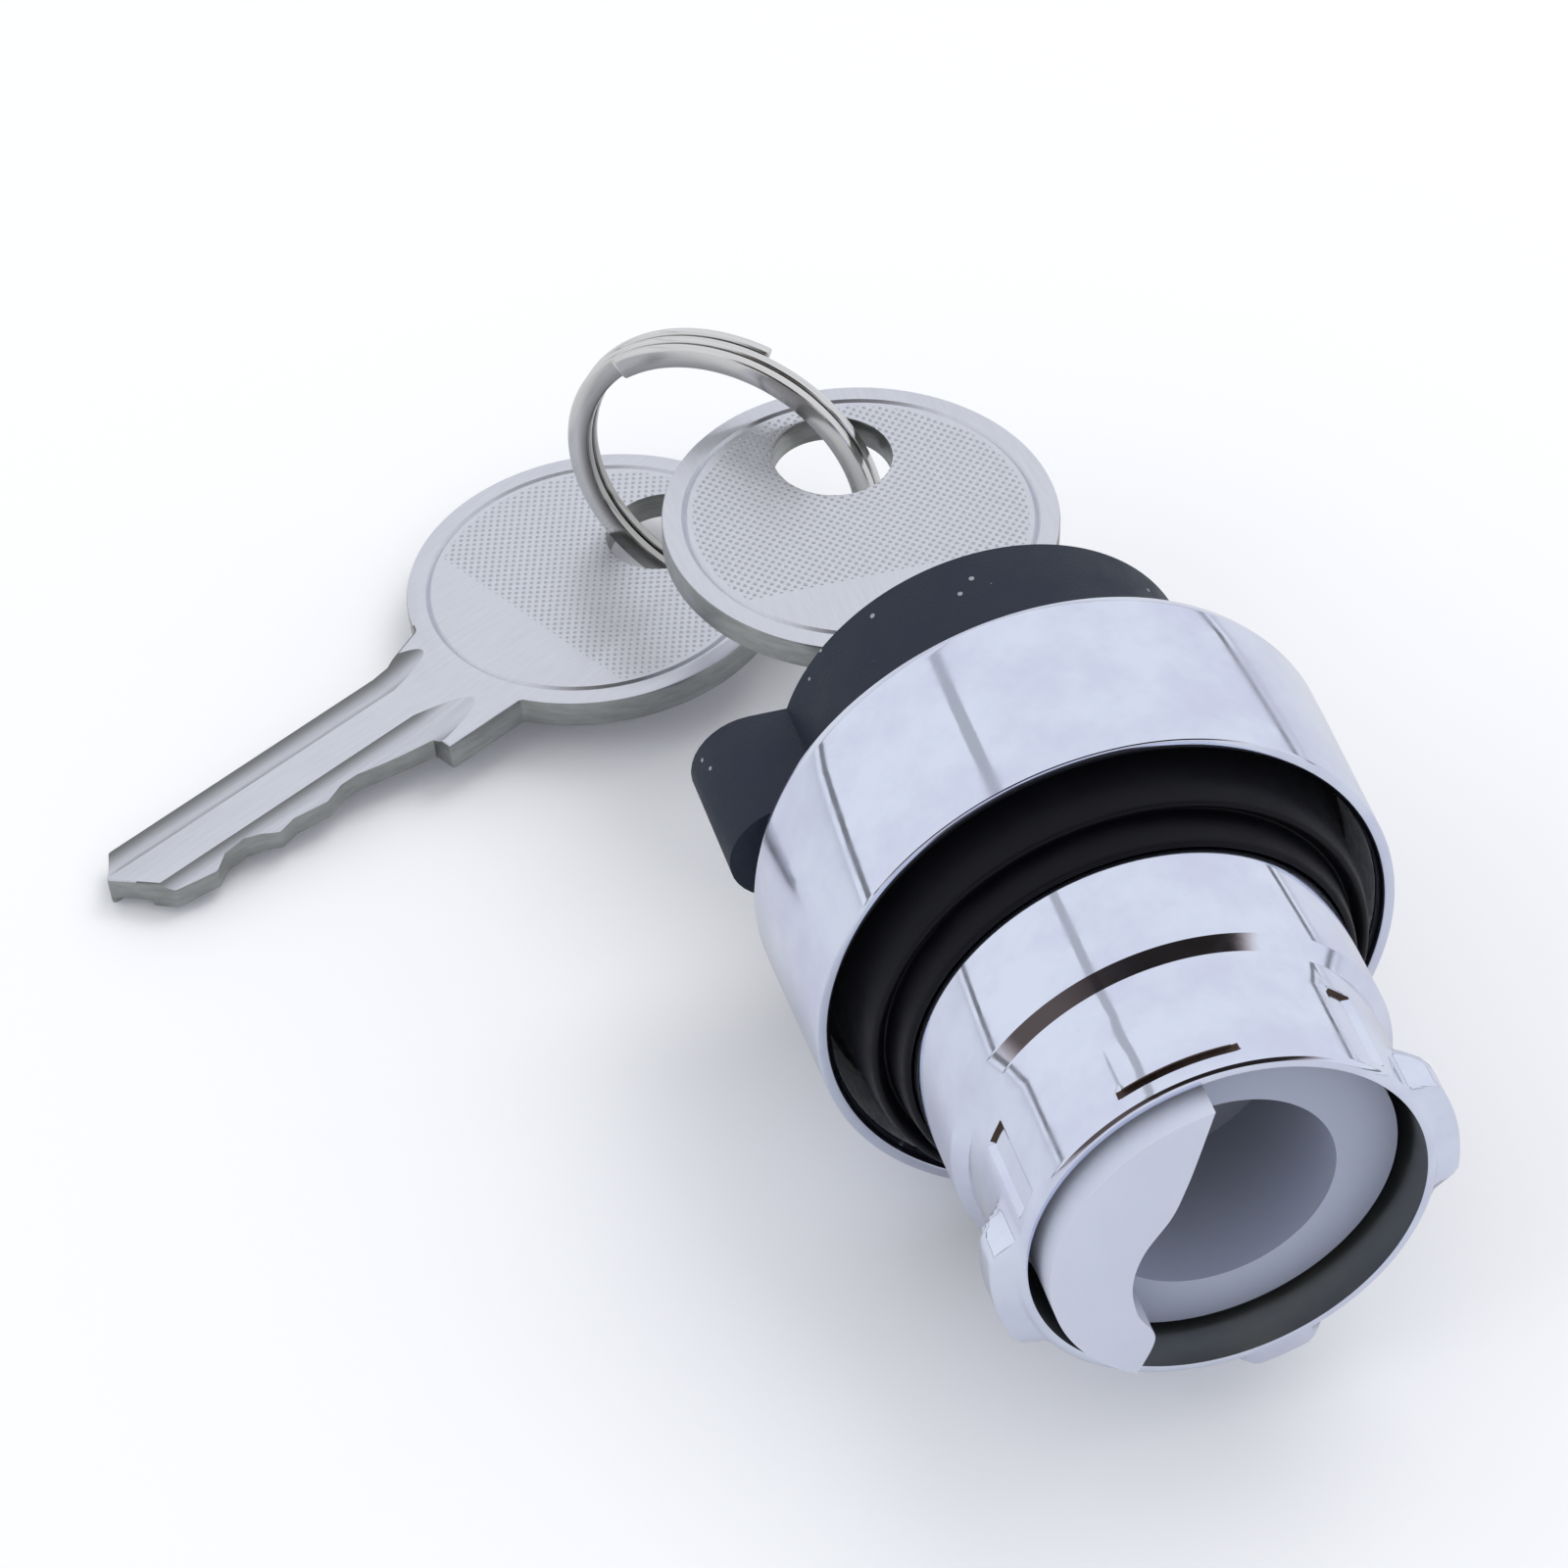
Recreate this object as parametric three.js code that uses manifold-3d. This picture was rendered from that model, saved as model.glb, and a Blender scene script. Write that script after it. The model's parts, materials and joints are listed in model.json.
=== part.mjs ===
// Selector key switch for a 22 mm panel hole: chromed head with a key-operated pointer cap,
// the two-position rotor with its wafer lock inside, and two keys on a split ring.
// Millimetres. The switch axis is Y: the key side faces -Y, the panel side faces +Y, +Z is up.
// The origin is on the axis, in the plane of the bezel's rear rim, where the panel face comes.

import * as THREE from 'three';
import { mergeVertices } from 'three/addons/utils/BufferGeometryUtils.js';
import Module from 'manifold-3d';

const wasm = await Module();
wasm.setup();

// ---------- driving dimensions ----------
const GAP = 0.3; // clearance between neighbouring pieces
const ROUND = 44; // facets of the large round pieces
const ROUND_SMALL = 24; // facets of the small round pieces

const BEZEL_R = 14.5; // Ø29 bezel
const BEZEL_REAR_R = 14.34;
const BEZEL_LENGTH = 10.5;
const BEZEL_BORE_R = 13.5;
const BEZEL_FACE_WALL = 1.1;
const BEZEL_OPENING_R = 8.0;
const BEZEL_HUB_LENGTH = 2.9; // thick part that grips the sleeve
const BEZEL_EDGE = [[0.9, 0], [0.25, 0.25], [0, 0.9]]; // inset and depth of the rounded front edge
const BEZEL_TAPER_START = 2.5; // behind the front face

const SLEEVE_R = 10.75; // goes through the 22.3 mm panel hole
const SLEEVE_TAIL_R = 10.1;
const SLEEVE_WAIST_Y = 9.0;
const SLEEVE_WAIST_DROP = 0.65;
const SLEEVE_REAR_Y = 16.5;
const SLEEVE_REAR_BORE_R = 9.55;
const SLEEVE_BORE_R = 9.25;
const SLEEVE_BORE_END_Y = 11.5;
const SLEEVE_SHELF_Y = 2.0; // inner shoulder that carries the stator
const SLEEVE_SHELF_WIDTH = 1.6;
const SLEEVE_REAR_CHAMFER = 0.2;
const DETENT_TRACK_DEPTH = 0.4;
const DETENT_TRACK_MARGIN = 10; // degrees past the ball at each end of its travel
const BODY_UP = 76; // degrees from +X to the middle of the sleeve's top pad, as the head lies

const LUG_R = 11.25;
const LUG_LENGTH = 3.0;
const LUG_SETBACK = 0.15; // from the sleeve's rear edge
const LUG_ROOT = 0.4; // how deep a lug starts inside the wall
const LUG_SIDES = [-13, 167]; // degrees, the two wide bayonet lugs
const LUG_SIDE_SPAN = 44;
const LUG_BOTTOM = -108;
const LUG_BOTTOM_SPAN = 27;

const PAD_SPAN = 32; // degrees, ramped bayonet pocket on top
const PAD_Y = [12.2, 15.9];
const PAD_DEPTH = 0.45;
const GROOVE_OFFSET = 56; // degrees from the pad to the two narrow grooves
const GROOVE_SPAN = 8;
const GROOVE_Y = [11.2, 15.8];

const GASKET_LIP = [ // rounded rib and the thin lip that hugs the sleeve, from outside in
  [12.9, 1.1], [12.1, 2.05], [11.75, 1.95], [11.45, 1.5], [11.3, 2.6], [11.2, 3.4],
];
const GASKET_FLANGE_Y = 0.2;
const GASKET_LIP_Y = 3.5;
const WASHER_INNER_R = 6.6;
const WASHER_END = 0.9; // from the shelf to the washer's far face
const SEAL_R = 8.15;
const SEAL_WIRE_R = 0.42;
const SEAL_Y = -8.95;

const CAP_R = 10.55;
const CAP_FRONT_Y = -19.2;
const CAP_REAR_Y = -10.8;
const CAP_SPIGOT_R = 7.3;
const CAP_SPIGOT_Y = -8.9;
const CAP_RECESS_R = 7.3;
const CAP_RECESS_Y = -18.7;
const CAP_RECESS_FLOOR = 0.9; // behind the face plate's rear plane
const CAP_EDGE = 0.6;
const CAP_NUB_ROOT = 1.5;
const NUB_SETBACK = 0.1; // the nub's front stands this far behind the cap's
const MARK_X = [CAP_RECESS_R + 0.5, 14.2]; // pocket for the pointer mark
const MARK_HALF = 0.7;
const MARK_DEPTH = 0.6;
const MARK_GAP = 0.25;
const FACE_PLATE_PROUD = 0.25;
const NUB_HALF_WIDTH = 3.0;
const NUB_TIP_X = 15.0;
const NUB_REAR_Y = -12.0;

const PLUG_R = 6.0;
const PLUG_FRONT_Y = -18.4;
const PLUG_REAR_Y = 2.9;
const PLUG_CLIP_Y = 1.25;
const TANG_HALF = 2.1;
const TANG_END_Y = 6.4;
const SCREW_HOLE_R = 0.9;
const CLIP_GROOVE = [0.8, -0.25, 0.65]; // depth, and its two faces from the clip's plane
const CLIP_WIRE = [-0.5, 1.2, -0.03, 0.42]; // inner and outer from the plug's radius, and its two faces
const CLIP_OPENING_HALF = 1.5;
const STATOR_R = 8.9;
const STATOR_FRONT_Y = -8.5;
const STATOR_REAR_Y = 0.7;
const STATOR_SLOT_MARGIN = [0.9, 1.2]; // solid wall left at the front and the rear
const STATOR_SLOT_REACH = 7.5;

const WAFER_COUNT = 5;
const WAFER_PITCH = 1.45;
const WAFER_FIRST_Y = -7.7;
const WAFER_THICK = 0.55;
const WAFER_HALF_HEIGHT = 2.5;
const WAFER_SLOT = 1.05;
const EAR_X = [-0.4, 0.5]; // ear that carries the wafer's spring
const EAR_FOOT_Z = -3.9;
const WAFER_SPRING_X = [0.8, 3.2];
const WAFER_SPRING_Z = -3.35;
const WAFER_SPRING = { radius: 0.3, wire: 0.12, turns: 5 };

const ROTOR_R = 8.93;
const ROTOR_FRONT_Y = 3.4;
const ROTOR_REAR_Y = 14.3;
const ROTOR_BORE_R = 5.82;
const ROTOR_FLOOR_Y = 6.9;
const LOBE_END_Y = 17.7;
const LOBE_ARC = [-60, 80]; // degrees of the lobe's outer wall
const LOBE_INNER = [[2.2, 6.0], [2.7, 4.1], [3.3, 2.4], [4.5, 0.4], [4.95, -1.6], [4.6, -3.7], [3.7, -5.5]];
const ROTOR_DISH = 0.4; // the rear face's bore edge stands this far behind its rim
const SCREW_HEAD_R = 2.2;
const SCREW_HEAD_HEIGHT = 1.6;
const SCREW_SHANK_R = 0.65;
const SCREW_SLOT = [2.5, 1.1, 0.3]; // half length, bottom above the rotor's floor, half width
const SCREW_CLEARANCE_R = 1.4;
const BALL_R = 1.0;
const BALL_Y = 5.3;
const BALL_CENTRE_R = 8.3;
const TURN = 90; // degrees between the two positions
const BALL_ANGLES = [100, 280];
const DETENT_POCKET = 3.7; // radius at which a ball's pocket starts
const DETENT_SPRING = { radius: 0.7, wire: 0.25, length: 3.0, turns: 5, centre: 5.45 };

const SHUTTER_Z = [1.45, 1.75]; // keyway flap, folded back beside the blade
const SHUTTER_Y = [1.2, 5.6]; // behind the plug's front face
const SHUTTER_POCKET_Y = 6.3;
const SHUTTER_SPRING = { radius: 0.38, wire: 0.14, length: 2.6, turns: 5 };
const SHUTTER_SPRING_AT = [1.4, 0.65, 1.7]; // its Y is behind the plug's front face

const KEY_BOW_R = 10.1;
const KEY_THICK = 1.6;
const KEY_HOLE_R = 3.05;
const KEY_HOLE_BACK = 4.84; // hole centre behind the bow's centre
const KEY_SHOULDER = 13.9; // from the bow's centre
const KEY_TIP = 32.1;
const KEY_BACK_EDGE = -2.95;
const KEY_NECK = [-3.9, 4.5]; // the bow's two straight sides
const KEY_NECK_END = 12.0;
const KEY_POINT = [[30.6, KEY_BACK_EDGE], [KEY_TIP, -1.0], [30.0, 1.9]]; // blunt point, back edge first
const KEY_STOP = 3.1;
const KEY_GROOVE_DEPTH = 0.4;
const KEY_GROOVES_TOP = [[12.4, -2.35, -0.2], [15.5, 1.3, 6]]; // start, and the two sides
const KEY_GROOVE_UNDER = [12.4, -0.9, 0.9];
const KEY_CUTS = [ // bitting edge, from the tip to the shoulder
  [27.6, 2.3], [26.6, 1.7], [25.3, 1.6], [24.4, 1.9], [23.6, 2.45], [22.5, 2.2], [20.5, 2.5], [19.3, 2.1],
  [18.2, 2.1], [16.6, 2.5], [14.6, 2.95],
];
const KEY_BOW_Y = -33.4; // bow centre of the key in the lock
const KEY_BOW_X = 1.7;
const KEYWAY_X = [-1.75, 4.95];
const KEYWAY_HALF = 1.1;
const KEYWAY_END_Y = 0.2;

const RING_R = 8.9;
const RING_WIRE = 1.25; // radial width of the flat wire
const RING_LAYER = 0.58; // thickness of the flat wire
const RING_PITCH = 0.7;
const RING_TURNS = 2.16;
const RING_STEPS = 84;
const RING_START = 165; // degrees round the ring to the wire's first end
const RING_CENTRE = [5.68, -44.27, -4.56];
const RING_HEADING = 50.5; // degrees from +X to the ring's own axis

const SPARE_CENTRE = [12.54, -45.18, -11.37];
const SPARE_YAW = 25.5;
const SPARE_PITCH = 3.56;
const SPARE_ROLL = 4.8;

// ---------- materials ----------
const finish = (color, roughness, metalness) =>
  new THREE.MeshStandardMaterial({ color, roughness, metalness });
const chrome = finish(0xdfe2ee, 0.12, 1);
const blackPlastic = finish(0x23262f, 0.6, 0);
const rubber = finish(0x15171c, 0.4, 0);
const nylon = finish(0xe4e4ec, 0.45, 0);
const nickel = finish(0xcfcdce, 0.3, 1);
const brass = finish(0xc9a45a, 0.35, 1);
const springSteel = finish(0x9a9a98, 0.35, 1);
const whiteInk = finish(0xf4f4f2, 0.6, 0);

// ---------- geometry helpers ----------
const rad = THREE.MathUtils.degToRad;

// A solid for joining and cutting, with its faces turned outwards.
function solid(geometry) {
  const bare = geometry.clone();
  bare.deleteAttribute('normal');
  bare.deleteAttribute('uv');
  const merged = mergeVertices(bare, 1e-4);
  const place = merged.attributes.position;
  const index = Uint32Array.from(merged.index.array);
  const corners = [new THREE.Vector3(), new THREE.Vector3(), new THREE.Vector3()];
  const kept = [];
  let volume = 0;
  for (let i = 0; i < index.length; i += 3) {
    const [a, b, c] = index.slice(i, i + 3);
    if (a === b || b === c || c === a) continue;
    kept.push(a, b, c);
    [a, b, c].forEach((v, k) => corners[k].fromBufferAttribute(place, v));
    volume += corners[0].dot(corners[1].clone().cross(corners[2]));
  }
  const triVerts = Uint32Array.from(kept);
  if (volume < 0) {
    for (let i = 0; i < triVerts.length; i += 3) {
      [triVerts[i], triVerts[i + 1]] = [triVerts[i + 1], triVerts[i]];
    }
  }
  const vertProperties = Float32Array.from(place.array);
  return new wasm.Manifold(new wasm.Mesh({ numProp: 3, vertProperties, triVerts }));
}

function geometryOf(body) {
  const { vertProperties, triVerts } = body.getMesh();
  const geometry = new THREE.BufferGeometry();
  geometry.setAttribute('position', new THREE.BufferAttribute(Float32Array.from(vertProperties), 3));
  geometry.setIndex(new THREE.BufferAttribute(Uint32Array.from(triVerts), 1));
  geometry.computeVertexNormals();
  return geometry;
}

// A closed [radius, y] outline turned about the switch axis.
function turned(outline, facets = ROUND) {
  const points = outline.map(([r, y]) => new THREE.Vector2(r, y));
  points.push(points[0].clone());
  return solid(new THREE.LatheGeometry(points, facets));
}

const tube = (inner, outer, y0, y1, facets = ROUND) =>
  turned([[inner, y0], [outer, y0], [outer, y1], [inner, y1]], facets);

function rod(radius, y0, y1, x = 0, z = 0, facets = ROUND_SMALL) {
  const geometry = new THREE.CylinderGeometry(radius, radius, y1 - y0, facets);
  return solid(geometry.translate(x, (y0 + y1) / 2, z));
}

function block([x0, x1], [y0, y1], [z0, z1]) {
  const geometry = new THREE.BoxGeometry(x1 - x0, y1 - y0, z1 - z0);
  return solid(geometry.translate((x0 + x1) / 2, (y0 + y1) / 2, (z0 + z1) / 2));
}

// An outline drawn in X and Z, carried from y0 to y1.
function alongAxis(shape, y0, y1, curveSegments = 8) {
  const geometry = new THREE.ExtrudeGeometry(shape, { depth: y1 - y0, bevelEnabled: false, curveSegments });
  return solid(geometry.rotateX(Math.PI / 2).translate(0, y1, 0));
}

// A piece of a ring between two angles, measured from +X towards +Z.
function sector(inner, outer, from, to, y0, y1, curveSegments = 8) {
  const shape = new THREE.Shape();
  shape.absarc(0, 0, outer, rad(from), rad(to), false);
  shape.absarc(0, 0, inner, rad(to), rad(from), true);
  return alongAxis(shape, y0, y1, curveSegments);
}

// A radial rod at an angle from +X towards +Z.
function spoke(radius, r0, r1, angle, y, facets = 12) {
  const geometry = new THREE.CylinderGeometry(radius, radius, r1 - r0, facets);
  geometry.rotateZ(-Math.PI / 2).translate((r0 + r1) / 2, y, 0).rotateY(-rad(angle));
  return solid(geometry);
}

// A wire wound about the Z axis, its section kept square to the radius.
class Winding extends THREE.Curve {
  constructor(radius, pitch, turns, start = 0) {
    super();
    Object.assign(this, { radius, pitch, turns, start });
  }

  getPoint(t, target = new THREE.Vector3()) {
    const angle = this.start + t * this.turns * 2 * Math.PI;
    const height = (t - 0.5) * this.turns * this.pitch;
    return target.set(this.radius * Math.cos(angle), this.radius * Math.sin(angle), height);
  }

  getPointAt(t, target) {
    return this.getPoint(t, target);
  }

  computeFrenetFrames(segments) {
    const frames = { tangents: [], normals: [], binormals: [] };
    for (let i = 0; i <= segments; i += 1) {
      const angle = this.start + (i / segments) * this.turns * 2 * Math.PI;
      frames.tangents.push(new THREE.Vector3(-Math.sin(angle), Math.cos(angle), 0));
      frames.normals.push(new THREE.Vector3(Math.cos(angle), Math.sin(angle), 0));
      frames.binormals.push(new THREE.Vector3(0, 0, 1));
    }
    return frames;
  }
}

function wound(curve, width, height, steps) {
  const section = new THREE.Shape();
  section.moveTo(-width / 2, -height / 2);
  section.lineTo(width / 2, -height / 2);
  section.lineTo(width / 2, height / 2);
  section.lineTo(-width / 2, height / 2);
  return new THREE.ExtrudeGeometry(section, { steps, bevelEnabled: false, extrudePath: curve });
}

const spring = ({ radius, wire, length, turns }) =>
  wound(new Winding(radius, (length - wire) / turns, turns), wire, wire, turns * 7);

const model = new THREE.Group();

function add(name, body, material, parent = model) {
  const geometry = body instanceof THREE.BufferGeometry ? geometryOf(solid(body)) : geometryOf(body);
  const mesh = new THREE.Mesh(geometry, material);
  mesh.name = name;
  parent.add(mesh);
  return mesh;
}

// ---------- fixed head ----------
function makeBezel() {
  const front = -BEZEL_LENGTH;
  const hubRear = front + BEZEL_FACE_WALL + BEZEL_HUB_LENGTH;
  const grip = SLEEVE_R + GAP;
  return turned([
    [BEZEL_OPENING_R, front],
    ...BEZEL_EDGE.map(([inset, depth]) => [BEZEL_R - inset, front + depth]),
    [BEZEL_R, front + BEZEL_TAPER_START],
    [BEZEL_REAR_R, 0],
    [BEZEL_BORE_R, 0],
    [BEZEL_BORE_R, hubRear],
    [grip, hubRear],
    [grip, front + BEZEL_FACE_WALL],
    [BEZEL_OPENING_R, front + BEZEL_FACE_WALL],
  ]);
}

function makeSleeve() {
  const front = -BEZEL_LENGTH + BEZEL_FACE_WALL + GAP;
  const waistEnd = SLEEVE_WAIST_Y + SLEEVE_WAIST_DROP;
  const shelf = SLEEVE_BORE_R - SLEEVE_SHELF_WIDTH;
  let body = turned([
    [SLEEVE_BORE_R, front],
    [SLEEVE_R, front],
    [SLEEVE_R, SLEEVE_WAIST_Y],
    [SLEEVE_TAIL_R, waistEnd],
    [SLEEVE_TAIL_R, SLEEVE_REAR_Y - SLEEVE_REAR_CHAMFER],
    [SLEEVE_TAIL_R - SLEEVE_REAR_CHAMFER, SLEEVE_REAR_Y],
    [SLEEVE_REAR_BORE_R, SLEEVE_REAR_Y],
    [SLEEVE_REAR_BORE_R, SLEEVE_BORE_END_Y],
    [SLEEVE_BORE_R, SLEEVE_BORE_END_Y],
    [SLEEVE_BORE_R, SLEEVE_SHELF_Y],
    [shelf, SLEEVE_SHELF_Y],
    [shelf, STATOR_REAR_Y + GAP],
    [SLEEVE_BORE_R, STATOR_REAR_Y + GAP],
  ]);
  const lugFront = SLEEVE_REAR_Y - LUG_LENGTH;
  const lugs = [...LUG_SIDES.map((at) => [at, LUG_SIDE_SPAN]), [LUG_BOTTOM, LUG_BOTTOM_SPAN]];
  for (const [at, span] of lugs) {
    const lug = sector(SLEEVE_TAIL_R - LUG_ROOT, LUG_R, at - span / 2, at + span / 2,
      lugFront, SLEEVE_REAR_Y - LUG_SETBACK);
    body = body.add(lug);
  }
  const pocketFloor = SLEEVE_TAIL_R - PAD_DEPTH;
  const pockets = [
    [BODY_UP, PAD_SPAN, PAD_Y],
    [BODY_UP - GROOVE_OFFSET, GROOVE_SPAN, GROOVE_Y],
    [BODY_UP + GROOVE_OFFSET, GROOVE_SPAN, GROOVE_Y],
  ];
  for (const [at, span, [y0, y1]] of pockets) {
    const cut = sector(pocketFloor, SLEEVE_R + 2, at - span / 2, at + span / 2, y0, y1);
    body = body.subtract(cut);
  }
  for (const angle of BALL_ANGLES) {
    const from = angle - DETENT_TRACK_MARGIN;
    const to = angle + TURN + DETENT_TRACK_MARGIN;
    const track = sector(SLEEVE_BORE_R - 1, SLEEVE_BORE_R + DETENT_TRACK_DEPTH, from, to,
      BALL_Y - BALL_R - GAP, BALL_Y + BALL_R + GAP, 14);
    body = body.subtract(track);
  }
  return body;
}

function makeGasket() {
  const inner = SLEEVE_R + GAP;
  const outer = BEZEL_BORE_R - GAP;
  const front = -BEZEL_LENGTH + BEZEL_FACE_WALL + BEZEL_HUB_LENGTH + GAP;
  return turned([
    [inner, front],
    [outer, front],
    [outer, GASKET_FLANGE_Y],
    ...GASKET_LIP,
    [inner, GASKET_LIP_Y],
  ]);
}

const ringSeal = (major, minor, y, facets) => {
  const outline = [];
  for (let i = 0; i < 8; i += 1) {
    const angle = (i / 8) * 2 * Math.PI;
    outline.push([major + minor * Math.cos(angle), y + minor * Math.sin(angle)]);
  }
  return turned(outline, facets);
};

function makeStator() {
  const body = tube(PLUG_R + GAP, STATOR_R, STATOR_FRONT_Y, STATOR_REAR_Y, 32);
  const slotY = [STATOR_FRONT_Y + STATOR_SLOT_MARGIN[0], STATOR_REAR_Y - STATOR_SLOT_MARGIN[1]];
  const slotHalf = WAFER_HALF_HEIGHT + GAP;
  return body.subtract(block([-STATOR_SLOT_REACH, STATOR_SLOT_REACH], slotY, [-slotHalf, slotHalf]));
}

add('bezel', makeBezel(), chrome);
add('body_sleeve', makeSleeve(), chrome);
add('panel_gasket', makeGasket(), rubber);
add('lock_stator', makeStator(), brass);
const washerY = [SLEEVE_SHELF_Y + GAP, SLEEVE_SHELF_Y + WASHER_END];
add('thrust_washer', tube(WASHER_INNER_R, STATOR_R, ...washerY, 32), springSteel);
add('cap_seal', ringSeal(SEAL_R, SEAL_WIRE_R, SEAL_Y, 28), rubber);

// ---------- rotor, which turns with the key ----------
function makeCap() {
  let body = turned([
    [PLUG_R + GAP, CAP_SPIGOT_Y],
    [PLUG_R + GAP, CAP_RECESS_Y + CAP_RECESS_FLOOR],
    [CAP_RECESS_R, CAP_RECESS_Y + CAP_RECESS_FLOOR],
    [CAP_RECESS_R, CAP_FRONT_Y],
    [CAP_R - CAP_EDGE, CAP_FRONT_Y],
    [CAP_R, CAP_FRONT_Y + CAP_EDGE],
    [CAP_R, CAP_REAR_Y],
    [CAP_SPIGOT_R, CAP_REAR_Y],
    [CAP_SPIGOT_R, CAP_SPIGOT_Y],
  ]);
  const tipCentre = NUB_TIP_X - NUB_HALF_WIDTH;
  const outline = new THREE.Shape();
  outline.moveTo(CAP_R - CAP_NUB_ROOT, -NUB_HALF_WIDTH);
  outline.lineTo(tipCentre, -NUB_HALF_WIDTH);
  outline.absarc(tipCentre, 0, NUB_HALF_WIDTH, -Math.PI / 2, Math.PI / 2, false);
  outline.lineTo(CAP_R - CAP_NUB_ROOT, NUB_HALF_WIDTH);
  body = body.add(alongAxis(outline, CAP_FRONT_Y + NUB_SETBACK, NUB_REAR_Y, 14));
  const markPocket = block(MARK_X, [CAP_FRONT_Y - 1, CAP_FRONT_Y + MARK_DEPTH], [-MARK_HALF, MARK_HALF]);
  return body.subtract(markPocket);
}

function makePointerMark() {
  const x = [MARK_X[0] + GAP, MARK_X[1] - GAP];
  const half = MARK_HALF - MARK_GAP;
  return block(x, [CAP_FRONT_Y + 0.05, CAP_FRONT_Y + 0.4], [-half, half]);
}

function makeFacePlate() {
  const disc = rod(CAP_RECESS_R - GAP, CAP_FRONT_Y - FACE_PLATE_PROUD, CAP_RECESS_Y, 0, 0, 36);
  return disc.subtract(block(KEYWAY_X, [CAP_FRONT_Y - 2, CAP_RECESS_Y + 2], [-KEYWAY_HALF, KEYWAY_HALF]));
}

const waferY = (i) => WAFER_FIRST_Y + i * WAFER_PITCH;

function makePlug() {
  let body = rod(PLUG_R, PLUG_FRONT_Y, PLUG_REAR_Y, 0, 0, 36);
  body = body.add(block([-TANG_HALF, TANG_HALF], [PLUG_REAR_Y - 0.5, TANG_END_Y], [-TANG_HALF, TANG_HALF]));
  const keyway = block(KEYWAY_X, [PLUG_FRONT_Y - 1, KEYWAY_END_Y], [-KEYWAY_HALF, KEYWAY_HALF]);
  const [grooveDepth, grooveFront, grooveRear] = CLIP_GROOVE;
  const clipGroove = tube(PLUG_R - grooveDepth, PLUG_R + 1, PLUG_CLIP_Y + grooveFront,
    PLUG_CLIP_Y + grooveRear, 36);
  const screwHole = rod(SCREW_HOLE_R, PLUG_REAR_Y, TANG_END_Y + 1, 0, 0, 12);
  const shutterPocket = block([KEYWAY_X[0], KEYWAY_X[1] - 0.6],
    [PLUG_FRONT_Y - 1, PLUG_FRONT_Y + SHUTTER_POCKET_Y], [KEYWAY_HALF - 0.2, KEYWAY_HALF + 1.3]);
  body = body.subtract(keyway).subtract(clipGroove).subtract(screwHole).subtract(shutterPocket);
  for (let i = 0; i < WAFER_COUNT; i += 1) {
    const y = [waferY(i) - WAFER_SLOT / 2, waferY(i) + WAFER_SLOT / 2];
    const slotHalf = WAFER_HALF_HEIGHT + GAP;
    body = body.subtract(block([-PLUG_R - 1, PLUG_R + 1], y, [-slotHalf, slotHalf]));
    body = body.subtract(block([EAR_X[0] - GAP, WAFER_SPRING_X[1] + 0.2], y, [EAR_FOOT_Z - 0.2, 0]));
  }
  return body;
}

function makeWafer(i) {
  const y = [waferY(i) - WAFER_THICK / 2, waferY(i) + WAFER_THICK / 2];
  const plate = block([-PLUG_R, PLUG_R], y, [-WAFER_HALF_HEIGHT, WAFER_HALF_HEIGHT]);
  const ear = block(EAR_X, y, [EAR_FOOT_Z, 0]);
  const roundEnds = rod(PLUG_R - 0.1, y[0] - 1, y[1] + 1, 0, 0, 36);
  const windowX = [KEYWAY_X[0] + 0.15, KEYWAY_X[1] - 0.1];
  const window = block(windowX, [y[0] - 1, y[1] + 1], [-KEYWAY_HALF, KEYWAY_HALF]);
  return plate.intersect(roundEnds).add(ear).subtract(window);
}

function makeCamRotor() {
  let body = turned([
    [0, ROTOR_FRONT_Y],
    [ROTOR_R, ROTOR_FRONT_Y],
    [ROTOR_R, ROTOR_REAR_Y],
    [ROTOR_BORE_R, ROTOR_REAR_Y + ROTOR_DISH],
    [ROTOR_BORE_R, ROTOR_FLOOR_Y],
    [0, ROTOR_FLOOR_Y],
  ]);
  const lobe = new THREE.Shape();
  lobe.absarc(0, 0, ROTOR_R, rad(LOBE_ARC[0]), rad(LOBE_ARC[1]), false);
  lobe.splineThru(LOBE_INNER.map(([x, z]) => new THREE.Vector2(x, z)));
  body = body.add(alongAxis(lobe, ROTOR_FLOOR_Y - 0.5, LOBE_END_Y, 16));
  const socket = TANG_HALF + GAP;
  body = body.subtract(block([-socket, socket], [ROTOR_FRONT_Y - 1, ROTOR_FLOOR_Y - 0.2], [-socket, socket]));
  body = body.subtract(rod(SCREW_CLEARANCE_R, ROTOR_FRONT_Y, ROTOR_FLOOR_Y + 1, 0, 0, 12));
  for (const angle of BALL_ANGLES) {
    body = body.subtract(spoke(BALL_R + 0.2, DETENT_POCKET, ROTOR_R + 1, angle, BALL_Y));
  }
  return body;
}

function makeBall(angle) {
  const geometry = new THREE.SphereGeometry(BALL_R, 14, 9);
  return geometry.translate(BALL_CENTRE_R, BALL_Y, 0).rotateY(-rad(angle));
}

function makeScrew() {
  const head = rod(SCREW_HEAD_R, ROTOR_FLOOR_Y + GAP, ROTOR_FLOOR_Y + SCREW_HEAD_HEIGHT, 0, 0, 20);
  const shank = rod(SCREW_SHANK_R, PLUG_REAR_Y + 0.6, ROTOR_FLOOR_Y + 0.8, 0, 0, 12);
  const [slotReach, slotFloor, slotHalf] = SCREW_SLOT;
  const slot = block([-slotReach, slotReach], [ROTOR_FLOOR_Y + slotFloor, ROTOR_FLOOR_Y + 3],
    [-slotHalf, slotHalf]);
  return head.add(shank).subtract(slot);
}

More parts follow.
